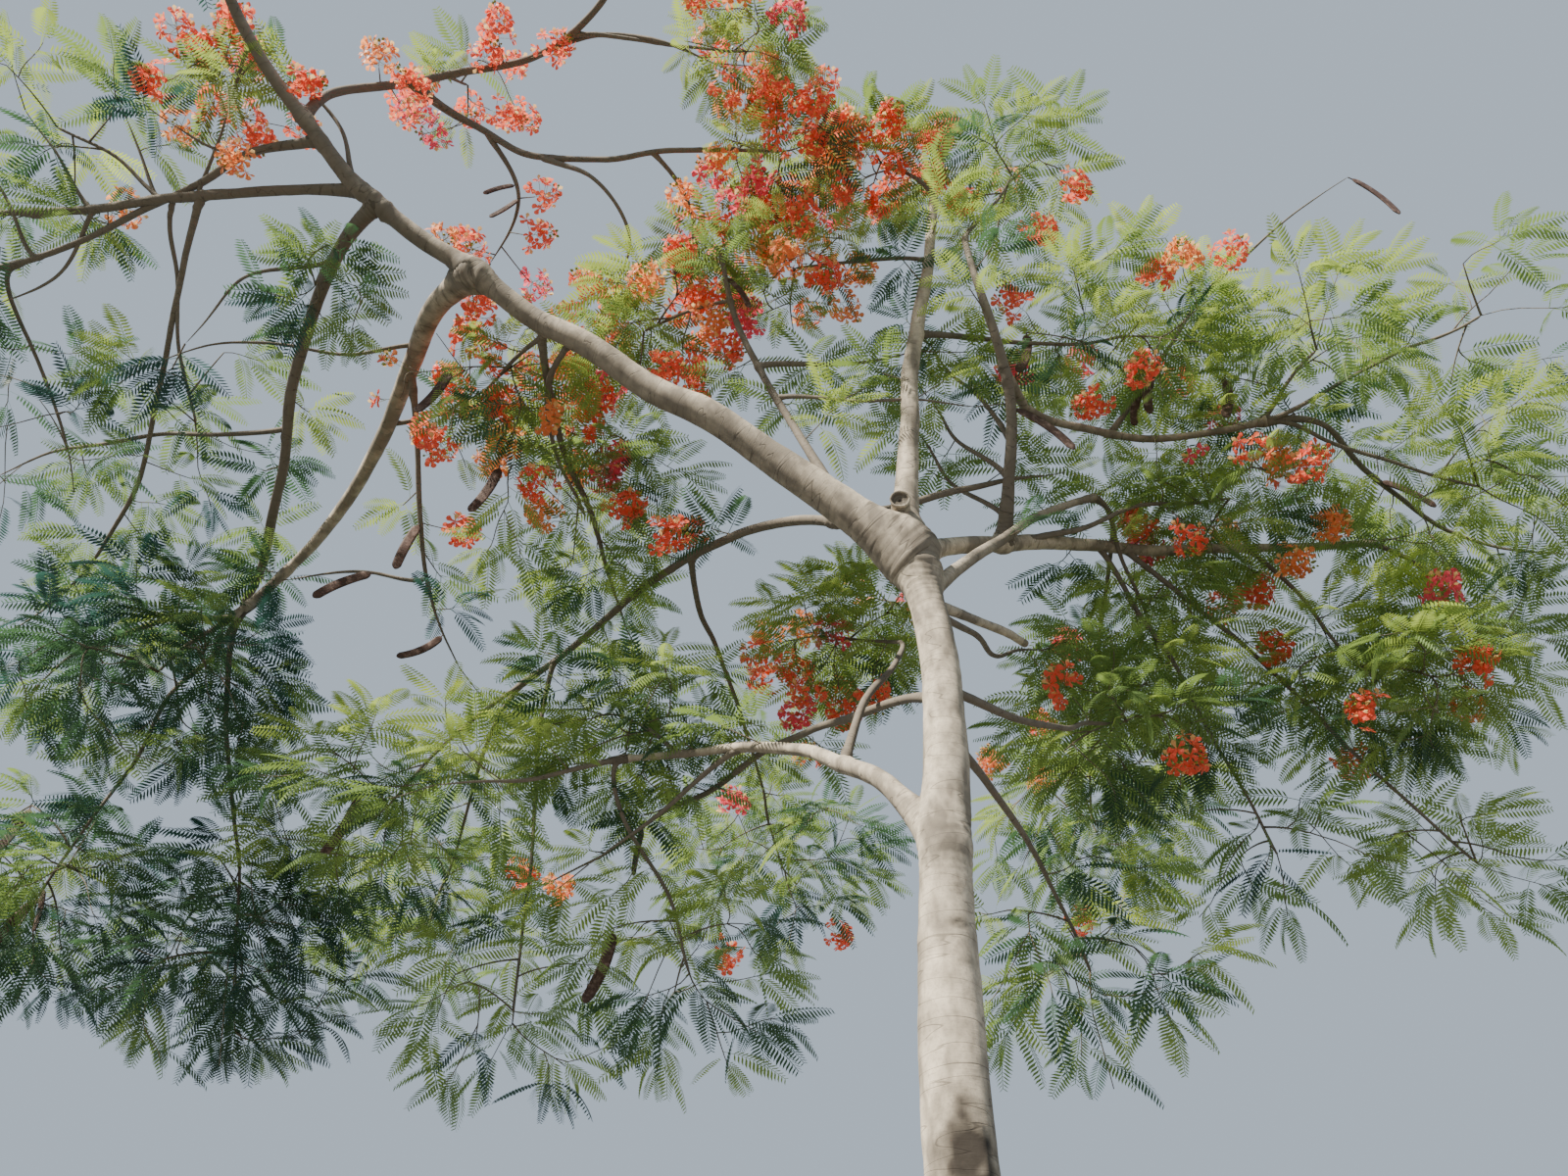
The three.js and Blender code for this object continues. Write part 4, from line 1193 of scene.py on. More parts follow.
def fork_marks(limb, places, settings, lift, scar):
    """Adds fillets and folds, with painted shade in the seams and the folds' troughs, where a limb meets its
    parent, children and siblings.
    """
    limbs, stems = skeleton()
    for other in [*limbs.values(), *stems.values()]:
        is_child = other.parent is limb
        is_parent = limb.parent is other
        is_sibling = other.parent is limb.parent and other is not limb and limb.parent is not None
        if not (is_child or is_parent or is_sibling):
            continue
        size = other.base if is_child else limb.base if is_parent else min(other.base, limb.base)
        size = size * (SIBLING_FILLET if is_sibling else FILLET)
        gap = surface_distance(places, other, None if is_parent else CHILD_STEPS)
        closeness = np.maximum(size - np.abs(gap), 0)
        lift += closeness**2 / (4 * size)
        if max(other.base, 0 if is_child else limb.base) > STOUT and not is_sibling:
            # A seam of painted shade runs along the crease where the limbs meet.
            seam = np.exp(-((gap / SEAM_WIDTH) ** 2)) * np.clip(1 + grain(places, size=0.15, seed=14), 0, 1)
            scar = np.maximum(scar, 0.45 * seam)
        if is_child and other.base > FOLDED:
            fold = np.sin(2 * np.pi * gap / settings.wrinkle + 3 * grain(places, size=0.12, seed=8))
            fading = np.exp(-np.maximum(gap, 0) / (FOLD_FADE * other.base)) * np.clip(gap / 0.01, 0, 1)
            strength = min(1, other.base / 0.12)
            lift += settings.relief * fold * fading * strength
            # Painted shade darkens the troughs of the folds.
            scar = np.maximum(scar, np.clip(-fold, 0, 1) * fading * 0.35 * strength)
    return lift, scar


def trunk_marks(places, heights, turn, radius, lift, scar):
    """Adds the trunk's scars and knots, a low dome over its fork, and a foot that is flat on the ground."""
    for height, degrees, width, tall, depth in TRUNK_SCARS:
        arc = (turn - math.radians(degrees) + np.pi) % (2 * np.pi) - np.pi
        reach = np.hypot(arc * radius / width, (heights - height) / tall)
        reach = reach * (1 + 0.12 * grain(places, size=0.03, seed=12))
        callus = depth * CALLUS * np.exp(-(((reach - 1) / 0.22) ** 2))
        lift += callus - depth * HOLLOW * np.exp(-(reach**2) * 2.2)
        stain = np.clip(1.5 - 0.62 * reach + 0.35 * grain(places, size=0.05, seed=13), 0, 1)
        scar = np.maximum(scar, 0.8 * depth * stain)
    lift *= np.clip(heights / 0.05, 0, 1)
    rounding = np.clip((heights - FORK_HEIGHT + DOME) / DOME, 0, 1)
    lift -= radius * 0.75 * (1 - np.sqrt(np.maximum(0, 1 - rounding**2)))
    return lift, scar


def ridged_bark(limb, spacing, sides, settings):
    """A limb's skin: its rings, with lumps, wrinkles at the forks, fillets to its relatives and scars, painted
    shade in the grooves and seams, and how far it faces down.
    """
    turn = np.arange(sides) * 2 * np.pi / sides
    line, radii, along, rings, outward = skin_rings(limb, spacing, turn)
    count = len(line)
    places, outward = rings.reshape(-1, 3), outward.reshape(-1, 3)
    turn, radius, far = np.tile(turn, count), np.repeat(radii, sides), np.repeat(along, sides)
    lift = radius * (SWELLING * grain(places, size=0.3, seed=3) + LUMP * grain(places, size=0.09, seed=4))
    lift += OVAL * radius * np.cos(2 * turn + 3 * grain(places * [0, 0, 1], size=0.8, seed=5))
    across = np.stack([np.cos(turn) * PATTERN_RADIUS, np.sin(turn) * PATTERN_RADIUS, far], -1)
    lift += settings.relief * FINE_RELIEF * grain(across * [0.4, 0.4, 1], size=settings.wrinkle * 1.5, seed=6)
    near = np.exp(-far / (WRINKLE_FADE * limb.base)) if limb.parent else 0 * far
    ripples = np.sin(2 * np.pi * far / settings.wrinkle + 3 * grain(places, size=0.12, seed=7))
    big = np.minimum(1, radius / FULL_RELIEF_RADIUS)
    lift += settings.relief * near * ripples * big
    # Painted shade darkens the grooves of the wrinkles.
    scar = np.clip(-ripples, 0, 1) * near * big * 0.5
    lift, scar = fork_marks(limb, places, settings, lift, scar)
    specks = grain(places, size=0.05, seed=9) + grain(places, size=0.015, seed=10) - 0.9
    scar = np.maximum(scar, np.clip(0.35 * specks, 0, 0.5))
    if limb.parent is None:
        lift, scar = trunk_marks(places, np.repeat(line[:, 2], sides), turn, radius, lift, scar)
    else:
        # The tip is rounded, and so is the foot inside the parent.
        tip = np.clip((far - along[-1] + radii[-1]) / radii[-1], 0, 1)
        tip = np.maximum(tip, np.clip(far / along[0], 0, 1))
        lift -= radius * 0.93 * (1 - np.sqrt(np.maximum(0, 1 - tip**2)))
    # How far each point faces down, which paints shade under the boughs.
    ahead = unit(np.gradient(line, axis=0))
    under = -outward[:, 2] * np.repeat(np.hypot(ahead[:, 0], ahead[:, 1]), sides)
    return places + outward * lift[:, None], tube_faces(1, count, sides), across, scar, under, far / along[-1]


def limb_grid(limb):
    """How closely a limb's skin is drawn: the spacing of its rings and its sides."""
    if limb.parent is None:
        return TRUNK_GRID
    sides = int(np.clip(round(limb.base * SIDES_PER_METRE), *BOUGH_SIDES))
    return float(np.clip(limb.base * RING_SHARE, *RING_SPACING)), sides


class FLAME_OT_bark(bpy.types.Operator):
    """Covers the trunk and each bough with bark in relief"""

    bl_idname = "flame.bark"
    bl_label = "Trunk and boughs"

    def execute(self, context):
        settings = context.scene.flame_bark
        # Flame tree bark: smooth, thin and grey-beige, with faint rings across, so it reads soft and matt.
        tones = settings.pale, settings.tan, settings.dark
        material = bark_material("Smooth grey-beige bark", *tones, 14 * MM, 75 * MM)
        limbs, _ = skeleton()
        for name in ("trunk", *(row.name for row in BOUGHS)):
            limb = limbs[name]
            places, faces, across, scar, under, far = ridged_bark(limb, *limb_grid(limb), settings)
            # Thinner limbs are greyer and darker than the trunk, partly with age and partly with painted shade
            # of the crown. Painted shade darkens the underside of each bough and left_main towards its end, and
            # painted light lightens the listed boughs.
            age = np.full(len(scar), THIN_AGE_AND_PAINTED_SHADE * np.clip((0.125 - limb.base) / 0.06, 0, 1))
            if name != "trunk":
                age = age + BOUGH_AGE + UNDERSIDE_PAINTED_SHADE * under + OUTER_PAINTED_SHADE * (name == "left_main") * far
                age = np.clip(age - PAINTED_LIGHT.get(name, 0), 0, 0.96)
            marks = {"bark_place": across, "scar": scar, "age": age}
            piece(name + "_bark", places, faces, material, replaced=[name], marks=marks)
        return {"FINISHED"}


class FLAME_OT_stub(bpy.types.Operator):
    """Makes the sawn stub in front of the leader, with its callus ring and hollow heart"""

    bl_idname = "flame.stub"
    bl_label = "Sawn stub"

    def execute(self, context):
        settings = context.scene.flame_bark
        # Old sawn wood: grey, dry and checked, darker at the heart.
        tones = settings.pale, settings.tan, settings.dark
        material = bark_material("Weathered sawn wood", *tones, 10 * MM, 30 * MM)
        way = direction(SAWN_STUB["heading"], SAWN_STUB["pitch"])
        end = np.array(SAWN_STUB["start"]) + way * SAWN_STUB["length"]
        turn = np.arange(SAWN_SIDES) * 2 * np.pi / SAWN_SIDES
        side = unit(np.cross(way, (0, 0, 1)))
        other = np.cross(way, side)
        spokes = side * np.cos(turn)[:, None] + other * np.sin(turn)[:, None]
        radius = SAWN_STUB["radius"]
        places = np.vstack([end + way * past + spokes * radius * share for past, share, _ in SAWN_PROFILE])
        uneven = 1 + 0.07 * grain(places, size=0.02, seed=21) + 0.05 * grain(places, size=0.045, seed=22)
        centre = end + (places - end) @ way[:, None] * way
        places = centre + (places - centre) * uneven[:, None]
        count = len(SAWN_PROFILE)
        faces = [np.flip(group, axis=1) for group in tube_faces(1, count, SAWN_SIDES)]
        across = np.stack([np.tile(np.cos(turn), count), np.tile(np.sin(turn), count)], -1) * PATTERN_RADIUS
        scar = np.repeat([dark for _, _, dark in SAWN_PROFILE], SAWN_SIDES)
        marks = {"bark_place": np.hstack([across, (places @ way)[:, None]]), "scar": scar}
        piece("sawn_stub", places, faces, material, marks=marks)
        return {"FINISHED"}


class FLAME_OT_branches(bpy.types.Operator):
    """Covers the fine limbs and the stems of the masses with young bark"""

    bl_idname = "flame.branches"
    bl_label = "Branches"

    def execute(self, context):
        settings = context.scene.flame_bark
        # Young bark: thin, brown-grey and a little darker than the trunk's, ringed by old leaf scars.
        tones = settings.young, settings.tan, settings.dark
        material = bark_material("Young brown-grey bark", *tones, 10 * MM, 50 * MM)
        limbs, stems = skeleton()
        fine = [limbs[row.name] for row in FINE_LIMBS]
        for name, family in (("fine_limbs", fine), ("stems", list(stems.values()))):
            places, walls, lows, highs, across, scar, offset = [], [], [], [], [], [], 0
            for limb in family:
                made, faces, place, dark, *_ = ridged_bark(limb, *BRANCH_GRID, settings)
                places.append(made)
                across.append(place)
                scar.append(dark)
                for group, kept in zip(faces, (walls, lows, highs)):
                    kept.append(group + offset)
                offset += len(made)
            faces = [np.vstack(group) for group in (walls, lows, highs)]
            marks = {"bark_place": np.vstack(across), "scar": np.concatenate(scar)}
            piece(name, np.vstack(places), faces, material, marks=marks)
        return {"FINISHED"}


class FLAME_OT_twigs(bpy.types.Operator):
    """Grows the twigs of every mass"""

    bl_idname = "flame.twigs"
    bl_label = "Twigs"

    def execute(self, context):
        settings = context.scene.flame_bark
        # Green-brown twig bark: still young, so it stays smooth and a little glossy.
        tones = settings.green, settings.young, settings.dark
        material = bark_material("Green-brown twig bark", *tones, 8 * MM, 40 * MM)
        growth = grown(context.scene.flame_leaves.room)
        lines, radii = np.array(growth.lines), np.array(growth.radii)
        rings, _ = tubes(lines, radii, TWIG_SIDES)
        faces = tube_faces(len(lines), TWIG_POINTS, TWIG_SIDES)
        places = rings.reshape(-1, 3)
        marks = {"bark_place": places * [0.3, 0.3, 1], "scar": np.zeros(len(places))}
        piece("twigs", places, faces, material, replaced=ALL_MASSES, marks=marks)
        return {"FINISHED"}


def small_mesh(name, points, faces, size=1.0):
    """An object that is only copied by others and isn't itself in the scene."""
    mesh = bpy.data.meshes.new(name)
    mesh.from_pydata([tuple(np.array(point) * size) for point in points], [], faces)
    return bpy.data.objects.new(name, mesh)


def plain_copy(holder, tree, inputs):
    """The mesh that a node tree makes of an object, with its named inputs set, as a plain mesh."""
    modifier = holder.modifiers.new("Rule", "NODES")
    modifier.node_group = tree
    for item in tree.interface.items_tree:
        if item.item_type == "SOCKET" and item.in_out == "INPUT" and item.name in inputs:
            modifier[item.identifier] = inputs[item.name]
    linked = holder.name in bpy.context.scene.collection.objects
    if not linked:
        bpy.context.scene.collection.objects.link(holder)
    bpy.context.view_layer.update()
    evaluated = holder.evaluated_get(bpy.context.evaluated_depsgraph_get())
    mesh = bpy.data.meshes.new_from_object(evaluated)
    holder.modifiers.remove(modifier)
    if not linked:
        bpy.context.scene.collection.objects.unlink(holder)
    return mesh


def made_by(tree, inputs):
    """The mesh that a node tree makes from its inputs alone."""
    return plain_copy(bpy.data.objects.new("holder", bpy.data.meshes.new("holder")), tree, inputs)


def new_tree(name, sockets):
    """An empty geometry node tree with its named inputs, and its input node."""
    tree = bpy.data.node_groups.new(name, "GeometryNodeTree")
    tree.interface.new_socket(name="Geometry", in_out="INPUT", socket_type="NodeSocketGeometry")
    for socket_name, kind, value in sockets:
        socket = tree.interface.new_socket(name=socket_name, in_out="INPUT", socket_type=kind)
        if value is not None:
            socket.default_value = value
    tree.interface.new_socket(name="Geometry", in_out="OUTPUT", socket_type="NodeSocketGeometry")
    return tree, add(tree, "NodeGroupInput")


def finish_tree(tree, parts, material):
    """Joins the parts, realizes their instances and sets their material."""
    joined = add(tree, "GeometryNodeJoinGeometry")
    for part in parts:
        tree.links.new(part.outputs[0], joined.inputs[0])
    real = add(tree, "GeometryNodeRealizeInstances", {"Geometry": joined})
    last = add(tree, "GeometryNodeSetMaterial", {"Geometry": real, "Material": material})
    add(tree, "NodeGroupOutput", {"Geometry": last})


def leaf_tree():
    """Feathered leaf: a drooping stalk with pairs of feathers, longest a little below the middle."""
    tree, given = new_tree(
        "Feathered leaf",
        (
            ("Feather", "NodeSocketObject", None),
            ("Length", NUMBER, 0.47),
            ("Droop", NUMBER, 0.07),
            ("Arch", NUMBER, 0.03),
            ("Sweep", NUMBER, 0.0),
            ("Pairs", WHOLE, 15),
            ("Feather Length", NUMBER, 0.118),
            ("Forward", NUMBER, 0.45),
            ("Fold", NUMBER, 0.25),
            ("Seed", WHOLE, 1),
            ("Material", "NodeSocketMaterial", None),
        ),
    )
    reach, pairs, seed = (given.outputs[name] for name in ("Length", "Pairs", "Seed"))
    half = add(tree, MATH, {0: reach, 1: 0.5}, operation="MULTIPLY")
    middle = add(tree, XYZ, {"X": half, "Z": given.outputs["Arch"]})
    far = add(tree, MATH, {0: reach, 1: 0.97}, operation="MULTIPLY")
    low = add(tree, MATH, {0: given.outputs["Droop"], 1: -1.0}, operation="MULTIPLY")
    end = add(tree, XYZ, {"X": far, "Y": given.outputs["Sweep"], "Z": low})
    ends = {"Resolution": 16, "Start": (0, 0, 0), "Middle": middle, "End": end}
    stalk = add(tree, "GeometryNodeCurveQuadraticBezier", ends)
    # The foot of the stalk is bare.
    bearing = add(tree, "GeometryNodeTrimCurve", {0: stalk, 2: 0.17, 3: 0.985})
    points = add(tree, "GeometryNodeCurveToPoints", {"Curve": bearing, "Count": pairs})
    index = add(tree, "GeometryNodeInputIndex")
    last = add(tree, MATH, {0: pairs, 1: 1.0}, operation="SUBTRACT")
    share = add(tree, MATH, {0: index, 1: last}, operation="DIVIDE")
    # Length of the feathers along the leaf: 0.71 at its foot, 1 at 0.42 of the way and 0.45 at its tip.
    off = add(tree, MATH, {0: share, 1: 0.42}, operation="SUBTRACT")
    off = add(tree, MATH, {0: off, 1: 0.58}, operation="DIVIDE")
    squared = add(tree, MATH, {0: off, 1: off}, operation="MULTIPLY")
    lost = add(tree, MATH, {0: squared, 1: 0.55}, operation="MULTIPLY")
    profile = add(tree, MATH, {0: 1.0, 1: lost}, operation="SUBTRACT")
    uneven = add(tree, RANDOM, {2: 0.88, 3: 1.06, "ID": index, "Seed": seed})
    size = add(tree, MATH, {0: profile, 1: uneven}, operation="MULTIPLY")
    size = add(tree, MATH, {0: size, 1: given.outputs["Feather Length"]}, operation="MULTIPLY")
    feather = add(tree, "GeometryNodeObjectInfo", {0: given.outputs["Feather"]}).outputs["Geometry"]
    ahead = {0: points.outputs["Tangent"], 3: given.outputs["Forward"]}
    forward = add(tree, "ShaderNodeVectorMath", ahead, operation="SCALE")
    fold = add(tree, MATH, {0: given.outputs["Fold"], 1: -1.0}, operation="MULTIPLY")
    parts = []
    for side in (1.0, -1.0):
        lean = add(tree, XYZ, {"Y": side, "Z": fold})
        way = add(tree, "ShaderNodeVectorMath", {0: forward, 1: lean}, operation="ADD")
        axes = {"primary_axis": "X", "secondary_axis": "Z"}
        turned = add(tree, "FunctionNodeAxesToRotation", {0: way, 1: (0.0, 0.0, 1.0)}, **axes)
        copied = {"Points": points, "Instance": feather, "Rotation": turned, "Scale": size}
        parts.append(add(tree, COPIES, copied))
    thin = add(tree, "GeometryNodeResampleCurve", {"Curve": stalk, "Count": 5})
    width = {"Start": (-2.4 * MM, 0, 0), "End": (2.4 * MM, 0, 0)}
    ribbon = {"Curve": thin, "Profile Curve": add(tree, "GeometryNodeCurvePrimitiveLine", width)}
    parts.append(add(tree, "GeometryNodeCurveToMesh", ribbon))
    finish_tree(tree, parts, given.outputs["Material"])
    return tree


def scatter_tree():
    """Dealt-out copies: one of several small meshes at each point, turned and sized as the point says."""
    tree, given = new_tree(
        "Dealt-out copies",
        (("Kinds", "NodeSocketCollection", None), ("Material", "NodeSocketMaterial", None)),
    )
    apart = {"Collection": given.outputs["Kinds"], "Separate Children": True, "Reset Children": True}
    kinds = add(tree, "GeometryNodeCollectionInfo", apart)
    turn, size, which = (
        add(tree, "GeometryNodeInputNamedAttribute", {"Name": name}, data_type=kind)
        for name, kind in (("turn", "FLOAT_VECTOR"), ("size", "FLOAT"), ("kind", "INT"))
    )
    copied = {
        "Points": given.outputs["Geometry"],
        "Instance": kinds,
        "Pick Instance": True,
        "Instance Index": which,
        "Rotation": add(tree, "FunctionNodeEulerToRotation", {0: turn}),
        "Scale": size,
    }
    finish_tree(tree, [add(tree, COPIES, copied)], given.outputs["Material"])
    return tree


def radiating_tree():
    """Blades that radiate round an axis: each a turn from the last, leaning out from the axis."""
    tree, given = new_tree(
        "Radiating blades",
        (
            ("Blade", "NodeSocketObject", None),
            ("Count", WHOLE, 5),
            ("Start", NUMBER, 0.0),
            ("Step", NUMBER, 2 * math.pi / 5),
            ("Lean", NUMBER, 1.2),
            ("Seed", WHOLE, 1),
            ("Material", "NodeSocketMaterial", None),
        ),
    )
    points = add(tree, "GeometryNodePoints", {"Count": given.outputs["Count"]})
    index = add(tree, "GeometryNodeInputIndex")
    around = {0: index, 1: given.outputs["Step"], 2: given.outputs["Start"]}
    turn = add(tree, MATH, around, operation="MULTIPLY_ADD")
    uneven = {2: -0.22, 3: 0.22, "ID": index, "Seed": given.outputs["Seed"]}
    uneven = add(tree, RANDOM, uneven)
    lean = add(tree, MATH, {0: given.outputs["Lean"], 1: math.pi / 2}, operation="SUBTRACT")
    lean = add(tree, MATH, {0: lean, 1: uneven}, operation="ADD")
    angles = add(tree, XYZ, {"Y": lean, "Z": turn})
    turned = add(tree, "FunctionNodeEulerToRotation", {0: angles})
    blade = add(tree, "GeometryNodeObjectInfo", {0: given.outputs["Blade"]})
    copied = {"Points": points, "Instance": blade.outputs["Geometry"], "Rotation": turned}
    finish_tree(tree, [add(tree, COPIES, copied)], given.outputs["Material"])
    return tree


def turns(along, up):
    """Angles that turn X to one direction and Z as near as it can be to another."""
    x = unit(along)
    z = unit(up - x * np.sum(up * x, axis=-1, keepdims=True))
    y = np.cross(z, x)
    return np.stack(
        [np.arctan2(y[:, 2], z[:, 2]), -np.arcsin(np.clip(x[:, 2], -1, 1)), np.arctan2(x[:, 1], x[:, 0])], -1
    )


def deal_out(name, kinds, places, angles, sizes, which, material, slot, replaced):
    """One joined piece of many small copies, made by the node tree from points with marks."""
    holder_mesh = bpy.data.meshes.new(name)
    holder_mesh.vertices.add(len(places))
    holder_mesh.vertices.foreach_set("co", places.astype(np.float32).ravel())
    for mark, kind, part, values in (
        ("turn", "FLOAT_VECTOR", "vector", angles.astype(np.float32)),
        ("size", "FLOAT", "value", sizes.astype(np.float32)),
        ("kind", "INT", "value", which.astype(np.int32)),
    ):
        holder_mesh.attributes.new(mark, kind, "POINT").data.foreach_set(part, values.ravel())
    box = bpy.data.collections.new(name + " kinds")
    for kind in kinds:
        box.objects.link(kind)
    made = bpy.data.objects.new(name, holder_mesh)
    bpy.context.scene.collection.objects.link(made)
    tree = bpy.data.node_groups.get("Dealt-out copies") or scatter_tree()
    mesh = plain_copy(made, tree, {"Kinds": box, "Material": material})
    for mark in ("turn", "size", "kind"):
        if mark in mesh.attributes:
            mesh.attributes.remove(mesh.attributes[mark])
    mesh.polygons.foreach_set("use_smooth", np.full(len(mesh.polygons), False))
    made.data = mesh
    bpy.data.collections.remove(box)
    settle(made, replaced)


def leaf_kinds(settings):
    """Leaves of several bends, made by the feathered-leaf rule from one feather."""
    feather = small_mesh("feather", FEATHER, [(0, 1, 2, 3)])
    tree = leaf_tree()
    kinds = []
    for row, (droop, arch, sweep, forward, fold) in enumerate(LEAF_BENDS):
        inputs = {
            "Feather": feather,
            "Length": settings.leaf,
            "Droop": settings.droop * droop,
            "Arch": settings.droop * arch,
            "Sweep": settings.droop * sweep,
            "Pairs": settings.pairs,
            "Feather Length": settings.feather,
            "Forward": forward,
            "Fold": fold,
            "Seed": row + 1,
        }
        kinds.append(bpy.data.objects.new(f"leaf_{row}", made_by(tree, inputs)))
    return kinds


@functools.lru_cache(maxsize=None)
def leaf_places(room, reach, droop):
    """Where every leaf of the crown sits: place, along, up, size, kind and green."""
    rows = []
    for m, line, green, seed in grown(room).sprays:
        random = np.random.default_rng(seed)
        count = int(random.integers(*LEAVES_IN_SPRAY))
        span = np.linalg.norm(line[-1] - line[0])
        k = np.arange(count)
        back = k / (count - 1)
        zone = min(0.75, LEAF_ZONE / max(span, 1e-6))
        shares = (1 - zone * k / (count - 1)) * (TWIG_POINTS - 1)
        roots = spline(line, shares)
        axis = unit(line[-1] - line[-2])
        side = unit(np.cross(axis, unit(random.normal(size=3))))
        other = np.cross(axis, side)
        phase = np.radians(k * GOLDEN_ANGLE + random.uniform(0, 360))[:, None]
        lean = np.radians(LEAST_LEAN + MORE_LEAN * back**0.8 + random.uniform(-10, 10, count))[:, None]
        along = axis * np.cos(lean) + (side * np.cos(phase) + other * np.sin(phase)) * np.sin(lean)
        # Leaves hang the more the lower they are in their mass.
        hang = SHOOT_HANG
        if m >= 0:
            below = skeleton()[1][MASSES[m].name].points[-1][2] - line[-1][2]
            hang = LEAST_HANG + MORE_HANG * np.clip(below / (MASSES[m].spread * MM * FLATNESS), 0, 1)
        along[:, 2] = along[:, 2] * LEVELLED - hang + 0.1 * random.normal(size=count)
        along = unit(along)
        up = np.array([0, 0, 1.0]) + 0.22 * random.normal(size=(count, 3))
        sizes = random.uniform(*LEAF_SIZES, count) * np.where(k == 0, END_LEAF, 1)
        kinds = random.integers(0, len(LEAF_BENDS), count)
        rows += [(m, *roots[i], *along[i], *up[i], sizes[i], kinds[i], green) for i in range(count)]
    table = np.array(rows)
    m = table[:, 0].astype(int)
    roots, along, up, sizes = table[:, 1:4], table[:, 4:7], table[:, 7:10], table[:, 10]
    best = np.zeros(len(table))
    for share in LEAF_TRIES:
        full = sizes * share * reach
        tests = [roots + along * (full * part)[:, None] - [0, 0, droop * part**2] for part in (0.55, 1.0)]
        fits = np.ones(len(table), bool)
        for tested in tests:
            fits &= (tested > LOW - BOX_SLACK).all(axis=1) & (tested < HIGH + BOX_SLACK).all(axis=1)
            fits &= (clearance(tested) > LEAF_CLEARANCE) & ~hiding(tested)
            for n in range(len(MASSES)):
                own = m == n
                fits[own] &= in_ball(tested[own], n, BALL_SLACK)
        best = np.where((best == 0) & fits, share, best)
    kept = best > 0
    kinds, greens = table[kept, 11].astype(int), table[kept, 12]
    return roots[kept], along[kept], up[kept], (sizes * best)[kept], kinds, greens


class FLAME_OT_leaves(bpy.types.Operator):
    """Deals feathery leaves out to every spray, in five greens"""

    bl_idname = "flame.leaves"
    bl_label = "Leaves"

    def execute(self, context):
        settings = context.scene.flame_leaves
        roots, along, up, sizes, which, greens = leaf_places(settings.room, settings.leaf, settings.droop)
        if not len(roots):
            raise RuntimeError("no leaf fits its mass")
        kinds = leaf_kinds(settings)
        for number, green in enumerate(GREENS):
            # Bipinnate leaves: thin, matt above and lit through from behind, so they glow against the light.
            tint, glow = getattr(settings, green), linear(LEAF_GLOWS[green])
            material = thin_material(f"Feathery leaf, {green}", tint, glow, 0.5, 50 * MM, 0.45)
            # Each green in pieces of a workable size, from left to right.
            rows = np.flatnonzero(greens == number)
            rows = rows[np.argsort(roots[rows, 0], kind="stable")]
            count = math.ceil(len(rows) / LEAVES_IN_PIECE)
            for part, chosen in enumerate(np.array_split(rows, count)):
                name = f"leaves_{green}_{part + 1}" if count > 1 else f"leaves_{green}"
                angles = turns(along[chosen], up[chosen])
                marks = roots[chosen], angles, sizes[chosen], which[chosen]
                deal_out(name, kinds, *marks, material, "foliage", ALL_MASSES)
        return {"FINISHED"}


def fan_blade(name, outline, middle, size):
    """A cupped blade: a fan of triangles from its raised middle to its outline."""
    faces = [(0, k + 1, (k + 1) % len(outline) + 1) for k in range(len(outline))]
    return small_mesh(name, [middle, *outline], faces, size)


def flower_kinds(settings):
    """Flowers with four spoon petals, five sepals and stamens, and their pale fifth petal apart."""
    size = settings.petal
    petal = fan_blade("petal", PETAL, PETAL_MIDDLE, size)
    standard = fan_blade("standard", STANDARD, STANDARD_MIDDLE, size)
    sepal = small_mesh("sepal", SEPAL, [(0, 1, 2, 3)], size)
    stamen = small_mesh("stamen", STAMEN, [(0, 1, 2)], size)
    tree = radiating_tree()
    step = 2 * math.pi / 5
    red, pale = [], []
    for row, (petal_lean, sepal_lean) in enumerate(FLOWER_LEANS):
        whorls = (
            (petal, 4, step, step, petal_lean),
            (sepal, 5, step / 2, step, sepal_lean),
            (stamen, 5, 0.3, step * 1.1, STAMEN_LEAN),
        )
        meshes = []
        for blade, count, start, turn, lean in whorls:
            inputs = {"Blade": blade, "Count": count, "Start": start, "Step": turn, "Lean": lean}
            meshes.append(made_by(tree, {**inputs, "Seed": row + 3}))
        red.append(bpy.data.objects.new(f"flower_{row}", joined(f"flower_{row}", meshes)))
        inputs = {"Blade": standard, "Count": 1, "Step": 0.0, "Lean": petal_lean * 0.8, "Seed": row}
        pale.append(bpy.data.objects.new(f"standard_{row}", made_by(tree, inputs)))
    return red, pale


def joined(name, meshes):
    """Several small meshes as one."""
    places, faces, offset = [], [], 0
    for mesh in meshes:
        co = np.zeros(len(mesh.vertices) * 3)
        mesh.vertices.foreach_get("co", co)
        places.append(co.reshape(-1, 3))
        faces += [[corner + offset for corner in face.vertices] for face in mesh.polygons]
        offset += len(mesh.vertices)
    made = bpy.data.meshes.new(name)
    made.from_pydata([tuple(place) for place in np.vstack(places)], [], faces)
    return made


def bud_kind(size):
    """A pointed bud: two rings of five corners between its foot and its tip."""
    ring = [(0.42 * size * math.cos(a), 0.42 * size * math.sin(a)) for a in np.arange(5) * 2 * math.pi / 5]
    points = [(0, 0, 0)] + [(0.35 * size, y, z) for y, z in ring]
    points += [(0.75 * size, y * 0.8, z * 0.8) for y, z in ring] + [(size * 1.15, 0, 0)]
    faces = []
    for k in range(5):
        after = (k + 1) % 5
        faces.append((0, 1 + after, 1 + k))
        faces.append((1 + k, 1 + after, 6 + after, 6 + k))
        faces.append((6 + k, 6 + after, 11))
    return small_mesh("bud", points, faces)


